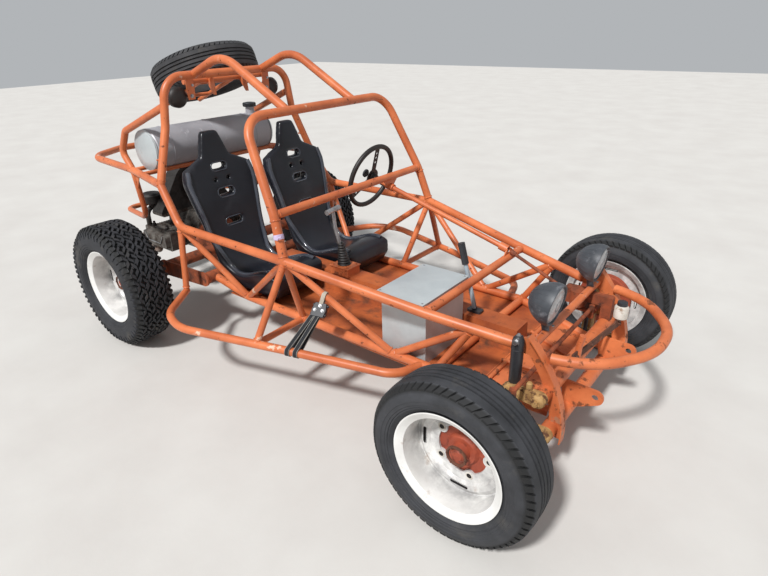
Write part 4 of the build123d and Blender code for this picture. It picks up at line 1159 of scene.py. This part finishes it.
# %% [markdown]
# The column is painted like the frame, and a black cap covers the wheel's nut.
# Both ride on the steering wheel's body, so that they turn with it.

# %% Column and wheel cap
COLUMN_TOP = Vector((0.132, 0.280, 0.869))
COLUMN_END = Vector((0.981, 0.280, 0.628))
column = (COLUMN_END - COLUMN_TOP).normalized()
bm = bmesh.new()
tube(bm, [COLUMN_TOP + column * 0.060, COLUMN_END - column * 0.012], 0.0127, 20)
finish("column_paint", bm, MATERIALS["frame_orange"], "steering_wheel_body")
bm = bmesh.new()
hub = ((0.0, 0.0), (0.0, 0.020), (0.003, 0.023), (0.010, 0.0225), (0.013, 0.018), (0.014, 0.0))
turned(bm, hub, COLUMN_TOP - column * 0.036, -column, 36)
finish("wheel_cap", bm, MATERIALS["black_metal"], "steering_wheel_body")

# %% [markdown]
# The shifter stands on a small box, in a rubber boot of nine rings that get
# smaller upwards, and ends in a bare T handle. The hand lever has a pale sleeve
# below its grip.

# %% Shifter and lever
bm = bmesh.new()
for k in range(9):
    share = k / 8
    radius = 0.0335 - 0.017 * share
    rib = ((-0.006, radius - 0.004), (0.0, radius + 0.003), (0.006, radius - 0.004))
    turned(bm, rib, (0.174 - 0.002 * k, -0.020, 0.462 + 0.108 * share), (0, 0, 1), 28)
finish("shifter_boot", bm, MATERIALS["grip_black"], "frame")
bm = bmesh.new()
outline = [(-0.062, -0.048), (0.062, -0.048), (0.062, 0.048), (-0.062, 0.048)]
prism(bm, outline, (0.178, -0.020, 0.4325), (1, 0, 0), (0, 1, 0), 0.045)
lid = [(x * 1.08, y * 1.12) for x, y in outline]
prism(bm, lid, (0.178, -0.020, 0.4565), (1, 0, 0), (0, 1, 0), 0.004)
for x in (0.128, 0.228):
    for y in (-0.058, 0.018):
        bolt(bm, (x, y, 0.4585), (0, 0, 1), 0.005)
finish("shifter_box", bm, RUSTY_PAINT, "frame", smooth=False, bevel=0.002)
bm = bmesh.new()
grip = ((0.028, 0.7542), (0.024, 0.7539), (-0.064, 0.7461), (-0.068, 0.7458))
tube(bm, [(0.114, y, z) for y, z in grip], 0.0142, 20)
tube(bm, [(0.148, -0.020, 0.566), (0.122, -0.020, 0.655), (0.112, -0.020, 0.742)], 0.0102, 16)
finish("shifter_handle", bm, STEEL, "frame")
LEVER_FOOT = Vector((0.971, 0.0, 0.411))
LEVER_TOP = Vector((0.881, 0.0, 0.730))
bm = bmesh.new()
tube(bm, [LEVER_FOOT.lerp(LEVER_TOP, share) for share in (0.05, 0.35, 0.695)], 0.0105, 16)
finish("lever_sleeve", bm, BLUE_GREY, "frame")

# %% [markdown]
# The lid of the sheet metal box has a round headed screw in each corner.

# %% Box fittings
bm = bmesh.new()
screw = ((0.0, 0.0045), (0.0015, 0.0042), (0.0022, 0.0025), (0.0022, 0.0))
for x in (0.720, 0.938):
    for y in (-0.385, -0.055):
        turned(bm, screw, (x, y, 0.600), (0, 0, 1), 16)
finish("box_screws", bm, STEEL, "frame")

# %% [markdown]
# The roof bars and the rear loop are tubes bent cold in wide arcs. A curve object
# with a bevel would bend them too. Here each corner of a path becomes an arc of
# the bender's radius that touches both runs.

# %% A path with arcs


def rounded(points, bends, steps=10):
    """the path with an arc at each inner corner"""
    pts = [Vector(p) for p in points]
    path = [pts[0]]
    for before, corner, after, bend in zip(pts, pts[1:], pts[2:], bends):
        back, ahead = (before - corner).normalized(), (after - corner).normalized()
        half = back.angle(ahead) / 2
        middle = corner + (back + ahead).normalized() * (bend / math.sin(half))
        start, end = corner + back * (bend / math.tan(half)), corner + ahead * (bend / math.tan(half))
        for k in range(steps + 1):
            arm = (start - middle).slerp(end - middle, k / steps)
            path.append(middle + arm.normalized() * bend)
    return path + [pts[-1]]


# %% [markdown]
# The new tubes take the place of the solids of those two nodes. The rear loop
# carries the cage round the engine, two cross tubes and a gusset at each side.
# Each half of a path is written once and mirrored.

# %% Roof bars and rear loop
HOOP_R, CROSS_R, STRUT_R = 0.021, 0.019, 0.016
bm = bmesh.new()
for y in (-0.228, 0.228):
    tube(bm, rounded([(0.066, y, 1.270), (-0.368, y, 1.508), (-0.638, y, 1.405)], (0.24,)), HOOP_R, 20)
roof = finish("roof_tubes", bm, MATERIALS["frame_orange"], "frame")
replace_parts(roof, "roof_bars")
bm = bmesh.new()
left = [(-0.607, 0.545, 0.890), (-1.058, 0.448, 0.893), (-1.623, 0.400, 0.893), (-1.759, 0.150, 0.893)]
loop = left + [(x, -y, z) for x, y, z in reversed(left)]
tube(bm, rounded(loop, (0.06, 0.20, 0.20, 0.20, 0.20, 0.06)), HOOP_R, 20)
left = [(-1.058, 0.448, 0.893), (-1.043, 0.430, 0.600), (-1.473, 0.330, 0.560)]
cage = left + [(x, -y, z) for x, y, z in reversed(left)]
tube(bm, rounded(cage, (0.09, 0.09, 0.09, 0.09)), STRUT_R, 16)
for x in (-0.858, -0.998):
    y = 0.545 - 0.097 * (-0.607 - x) / 0.451
    tube(bm, [(x, -y, 0.905), (x, y, 0.905)], 0.012, 14)
for side in (-1, 1):
    outline = [(-0.048, 0.0), (0.072, 0.0), (0.020, -0.105)]
    prism(bm, outline, (-1.058, side * 0.448, 0.893), (1, 0, 0), (0, 0, 1), 0.005)
rear = finish("rear_tubes", bm, MATERIALS["frame_orange"], "frame")
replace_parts(rear, "rear_frame")

# %% [markdown]
# Weld beads lie round the ends of the tubes where they meet the rails. The tube
# stations of the left side are named once, and each joint is a pair of them with
# the tube's radius.

# %% Where tubes meet
FOOT = (0.327, 0.561, 0.694)
LEG = (0.247, 0.4105, 0.322)
BACK = (-0.164, 0.415, 0.322)
APEX = (0.802, 0.404, 0.322)
BAR = (0.288, 0.739, 0.348)
TOP = (1.172, 0.389, 0.565)
LOW = (1.017, 0.402, 0.322)
KINK = (-0.467, 0.561, 0.694)
POST = (-0.483, 0.585, 0.335)
DASH = (0.264, 0.538, 0.886)
CROSS = (0.981, 0.431, 0.591)
HOOP = (-0.607, 0.545, 0.890)
JOINTS = (
    (FOOT, BAR, STRUT_R),
    (FOOT, LEG, STRUT_R),
    (FOOT, BACK, STRUT_R),
    (FOOT, APEX, STRUT_R),
    (TOP, APEX, STRUT_R),
    (TOP, LOW, STRUT_R),
    (KINK, BACK, STRUT_R),
    (KINK, POST, STRUT_R),
    (LEG, BAR, STRUT_R),
    (FOOT, DASH, HOOP_R),
    (HOOP, (-0.638, 0.492, 1.028), HOOP_R),
    (DASH, (0.264, 0.0, 0.886), CROSS_R),
    (CROSS, (0.981, 0.0, 0.591), CROSS_R),
    (BACK, (-0.164, 0.0, 0.322), CROSS_R),
    (LOW, (1.017, 0.0, 0.322), CROSS_R),
)
print(len(JOINTS), "joints on the left side")

# %% [markdown]
# A bead is a thin closed tube round the end of the joint's tube, and the right
# side is the mirror of the left. It could be a bump in the paint, but a bead
# stands out far enough to show at the edge of a tube. A slight wave in the
# radius makes it look laid by hand.

# %% Weld beads
bm = bmesh.new()
for start, end, radius in JOINTS:
    for side in (-1, 1):
        a = Vector((start[0], side * start[1], start[2]))
        b = Vector((end[0], side * end[1], end[2]))
        way = (b - a).normalized()
        u, w = axes(way)
        for place, sign in ((a, 1), (b, -1)) if end[1] else ((a, 1),):
            middle = place + way * sign * 0.0225
            ring = []
            for t in turns(28):
                wave = 0.0008 * math.cos(7 * t)
                ring.append(middle + (u * math.cos(t) + w * math.sin(t)) * (radius + 0.0006 + wave))
            tube(bm, ring, 0.0030, 8, closed=True)
finish("weld_beads", bm, MATERIALS["frame_orange"], "frame")

# %% [markdown]
# The front shocks have domed dust covers of black sheet, with two pressed beads, a
# bolt through the side and one on top. The cover is a turned shape over the
# solid, and each bead a small ridge round it.

# %% Fittings of a shock
SHOCK_X, SHOCK_Y = 1.361, 0.388


def shock_fittings(side, sign):
    """the dust cover of a front shock and its two bolts"""
    at_shock = Vector((SHOCK_X, sign * SHOCK_Y, 0.0))
    bm = bmesh.new()
    cover = (
        (0.352, 0.0),
        (0.352, 0.0205),
        (0.357, 0.0225),
        (0.566, 0.0232),
        (0.580, 0.0225),
        (0.592, 0.0190),
        (0.600, 0.0125),
        (0.603, 0.0),
    )
    turned(bm, cover, at_shock, (0, 0, 1), 40)
    for z in (0.375, 0.548):
        turned(bm, ((z - 0.003, 0.0228), (z, 0.0243), (z + 0.003, 0.0228)), at_shock, (0, 0, 1), 40)
    finish(f"shock_cover_{side}", bm, MATERIALS["black_metal"], "frame")
    bm = bmesh.new()
    bolt(bm, at_shock + Vector((0, sign * 0.019, 0.583)), (0, sign, 0), 0.0095)
    bolt(bm, at_shock + Vector((0, 0, 0.6015)), (0, 0, 1), 0.006)
    finish(f"shock_bolts_{side}", bm, STEEL, "frame", smooth=False)

# %% [markdown]
# King pins turn in tan bosses with a rusty nut, which ride on the knuckles. The
# ends of the trailing arms have cast caps, each with a bolt, and stay with the
# frame.

# %% Front axle fittings
PIN_Y = 0.520
BOSS = ((0.395, 0.0235), (0.400, 0.0300), (0.418, 0.0310), (0.426, 0.0270), (0.440, 0.0245), (0.447, 0.0235))
EAR = ((0.398, 0.0), (0.398, 0.009), (0.421, 0.008), (0.424, 0.004), (0.424, 0.0))
ARM_CAP = ((-0.002, 0.0275), (0.008, 0.0265), (0.012, 0.0225), (0.016, 0.0150), (0.017, 0.0))
STUB = ((0.0, 0.0), (0.0, 0.013), (0.030, 0.012), (0.034, 0.008), (0.034, 0.0))
for side, sign in SIDES:
    shock_fittings(side, sign)
    bm = bmesh.new()
    pin = Vector((AXLE_F, sign * PIN_Y, 0.0))
    turned(bm, BOSS, pin, (0, 0, 1), 36)
    for angle in (40, 160, 280):
        t = math.radians(angle)
        out = Vector((math.cos(t), math.sin(t), 0))
        turned(bm, EAR, pin + out * 0.030, (0, 0, 1), 18)
    finish(f"pin_boss_{side}", bm, CASTING, f"knuckle_{side}_body")
    bm = bmesh.new()
    for height, x in ((0.385, 1.472), (0.240, 1.507)):
        end = Vector((x, sign * 0.4265, height))
        turned(bm, ARM_CAP, end, (0, sign, 0), 36)
        bolt(bm, end + Vector((0, sign * 0.0165, 0)), (0, sign, 0), 0.011)
    turned(bm, STUB, (1.430, sign * 0.4135, 0.409), (0, 0, 1), 24)
    finish(f"arm_bosses_{side}", bm, CASTING, "frame")
    bm = bmesh.new()
    bolt(bm, pin + Vector((0, 0, 0.446)), (0, 0, 1), 0.014)
    bolt(bm, pin + Vector((0, 0, 0.209)), (0, 0, -1), 0.012)
    finish(f"pin_nut_{side}", bm, RUST, f"knuckle_{side}_body", smooth=False)

# %% [markdown]
# Two grooved pulleys sit behind the engine, on the crank and on the fan. Each is
# turned with a V groove and gets a six-sided nut and five raised bosses.

# %% Pulleys
ENGINE_AT, CRANK_AT, FAN_AT = -1.183, 0.406, 0.691
CRANK_R, FAN_R = 0.084, 0.062
HUB_NUT = ((0.010, 0.0), (0.010, 0.022), (0.020, 0.020), (0.022, 0.0))
belt_x = ENGINE_AT - 0.222
bm = bmesh.new()
for height, radius in ((CRANK_AT, CRANK_R), (FAN_AT, FAN_R)):
    lip = radius + 0.0045
    cheek = [(-0.0135, radius - 0.006), (-0.0135, lip), (-0.010, lip), (-0.002, radius)]
    rim = cheek + [(-a, r) for a, r in reversed(cheek)]
    turned(bm, rim, (belt_x, 0, height), (1, 0, 0), 56)
    turned(bm, HUB_NUT, (belt_x, 0, height), (-1, 0, 0), 6)
    reach = radius * 0.55
    raised = ((0.0, 0.0), (0.0, radius * 0.15), (0.003, radius * 0.14), (0.003, 0.0))
    for t in turns(5):
        spot = Vector((belt_x - 0.0115, reach * math.cos(t), height + reach * math.sin(t)))
        turned(bm, raised, spot, (-1, 0, 0), 20)
finish("pulleys", bm, STEEL, "frame")

# %% [markdown]
# The belt is a closed strap. It lies on more than half of the large pulley and
# less than half of the small one, by the angle that the tangents lean.

# %% Fan belt
FAN_BELT_R, CRANK_BELT_R = 0.0655, 0.0875
lean = math.asin((CRANK_R - FAN_R) / (FAN_AT - CRANK_AT))
print("the belt's runs lean by", round(math.degrees(lean), 1), "degrees")
path = []
for k in range(33):
    t = lean + math.pi * (1 - 2 * lean / math.pi) * k / 32
    path.append(Vector((belt_x, FAN_BELT_R * math.cos(t), FAN_AT + FAN_BELT_R * math.sin(t))))
for k in range(33):
    t = math.pi - lean + (math.pi + 2 * lean) * k / 32
    path.append(Vector((belt_x, CRANK_BELT_R * math.cos(t), CRANK_AT + CRANK_BELT_R * math.sin(t))))
bm = bmesh.new()
ribbon(bm, path, (1, 0, 0), 0.0065, 0.007)
finish("fan_belt", bm, MATERIALS["grip_black"], "frame")

# %% [markdown]
# Steel bands clamp the generator, small bolts go round the fan housing, a wire
# clip holds each valve cover, and two rubber caps sit on the plugs of each bank.

# %% Clamps, clips and plug caps
bm = bmesh.new()
clamp = ((-0.009, 0.0535), (-0.009, 0.0560), (0.009, 0.0560), (0.009, 0.0535))
for x in (ENGINE_AT - 0.128, ENGINE_AT - 0.178):
    turned(bm, clamp, (x, 0, FAN_AT), (1, 0, 0), 48)
bolt(bm, (ENGINE_AT - 0.150, 0.0, FAN_AT + 0.056), (0, 0, 1), 0.006)
for k in range(10):
    t = math.radians(20 + 15.5 * k)
    bolt(bm, (ENGINE_AT - 0.096, 0.138 * math.cos(t), FAN_AT + 0.138 * math.sin(t)), (-1, 0, 0), 0.0045)
finish("shroud_bolts", bm, STEEL, "frame", smooth=False)
half_clip = [(-0.105, 0.312, 0.040), (-0.100, 0.3435, 0.038), (-0.070, 0.3455, -0.012)]
clip = half_clip + [(-x, y, z) for x, y, z in reversed(half_clip)]
for side, sign in SIDES:
    bm = bmesh.new()
    tube(bm, [(ENGINE_AT + x, sign * y, CRANK_AT + z) for x, y, z in clip], 0.0032, 10)
    finish(f"cover_clip_{side}", bm, STEEL, "frame")
    bm = bmesh.new()
    for x in (-0.072, 0.072):
        lead = ((0.0, 0.0), (0.0, 0.013), (0.014, 0.012), (0.018, 0.008), (0.030, 0.0075), (0.032, 0.0))
        turned(bm, lead, (ENGINE_AT + x, sign * 0.285, CRANK_AT + 0.064), (0, 0, 1), 20)
    finish(f"plug_caps_{side}", bm, MATERIALS["grip_black"], "frame")

# %% [markdown]
# A thin floor plate closes the nose between the lower rails. It narrows and
# dips towards the front, and has two pressed ribs, one across its back edge, and
# six bolts.

# %% Nose floor
SHEET_THICK = 0.003
bm = bmesh.new()
plate = ((1.190, 0.346, 0.3010), (1.310, 0.319, 0.2860), (1.440, 0.286, 0.2650))
low = [[bm.verts.new((x, side * y, z - SHEET_THICK)) for side in (-1, 1)] for x, y, z in plate]
top = [[bm.verts.new((x, side * y, z)) for side in (-1, 1)] for x, y, z in plate]
for k in range(2):
    bm.faces.new((top[k][0], top[k][1], top[k + 1][1], top[k + 1][0]))
    bm.faces.new((low[k][0], low[k + 1][0], low[k + 1][1], low[k][1]))
    for side in (0, 1):
        bm.faces.new((low[k][side], low[k + 1][side], top[k + 1][side], top[k][side]))
for k in (0, 2):
    bm.faces.new((low[k][0], low[k][1], top[k][1], top[k][0]))
for y in (-0.135, 0.135):
    tube(bm, [(x, y * (1.1 - 0.25 * k), z + 0.006) for k, (x, _, z) in enumerate(plate)], 0.009, 12)
tube(bm, [(1.212, y, 0.3050) for y in (-0.332, 0.332)], 0.009, 12)
for x, y, z in ((1.25, 0.31, 0.2935), (1.35, 0.28, 0.2795), (1.42, 0.10, 0.2685)):
    for side in (-1, 1):
        bolt(bm, (x, side * y, z), (0, 0, 1), 0.006)
finish("nose_floor", bm, RUSTY_PAINT, "frame", smooth=False)

# %% [markdown]
# A plain pale floor, one large soft lamp and an even sky, at a level where a
# colour renders about as it is written. The lamp is a sun, because its light is
# the same all over so long an object, and its six degrees soften the shadows.

# %% Floor and light
bpy.ops.mesh.primitive_plane_add(size=40)
floor = bpy.context.object
floor.name = "floor"
floor.data.materials.append(surface("studio_floor", "CFCCC7", "C8C4BF", 500, 0.9, bump=0.2, grain=12.5))

sun_turn = [math.radians(angle) for angle in (38, -12, 20)]
bpy.ops.object.light_add(type="SUN", rotation=sun_turn)
sun = bpy.context.object
sun.data.energy = 3.6
sun.data.angle = math.radians(6)
world = bpy.data.worlds.new("studio")
scene.world = world
world.use_nodes = True
sky = world.node_tree.nodes["Background"].inputs
sky["Color"].default_value = colour("EEF2F6")
sky["Strength"].default_value = 0.52
print("sun", sun.data.energy, "with a sky of", round(sky["Strength"].default_value, 2))

# %% [markdown]
# The camera stands where the photograph was taken, at eye height in front of the
# right wheel, turned 39 degrees and looking down by 26.

# %% Camera
CAMERA_AT = (2.0514, -2.0032, 1.6129)
YAW, PITCH, ROLL = 0.680648, 0.446706, -0.023562
look = Vector((-math.sin(YAW) * math.cos(PITCH), math.cos(YAW) * math.cos(PITCH), -math.sin(PITCH)))
right = Vector((math.cos(YAW), math.sin(YAW), 0))
up = right.cross(look)
right, up = right * math.cos(ROLL) + up * math.sin(ROLL), up * math.cos(ROLL) - right * math.sin(ROLL)
bpy.ops.object.camera_add()
camera = bpy.context.object
camera.matrix_world = Matrix.Translation(CAMERA_AT) @ Matrix((right, up, -look)).transposed().to_4x4()
camera.data.sensor_width = 36
camera.data.lens = 25.62
camera.data.clip_end = 200
scene.camera = camera
scene.view_settings.view_transform = "Standard"
print("camera at", CAMERA_AT, "with a lens of", round(camera.data.lens, 2), "mm")
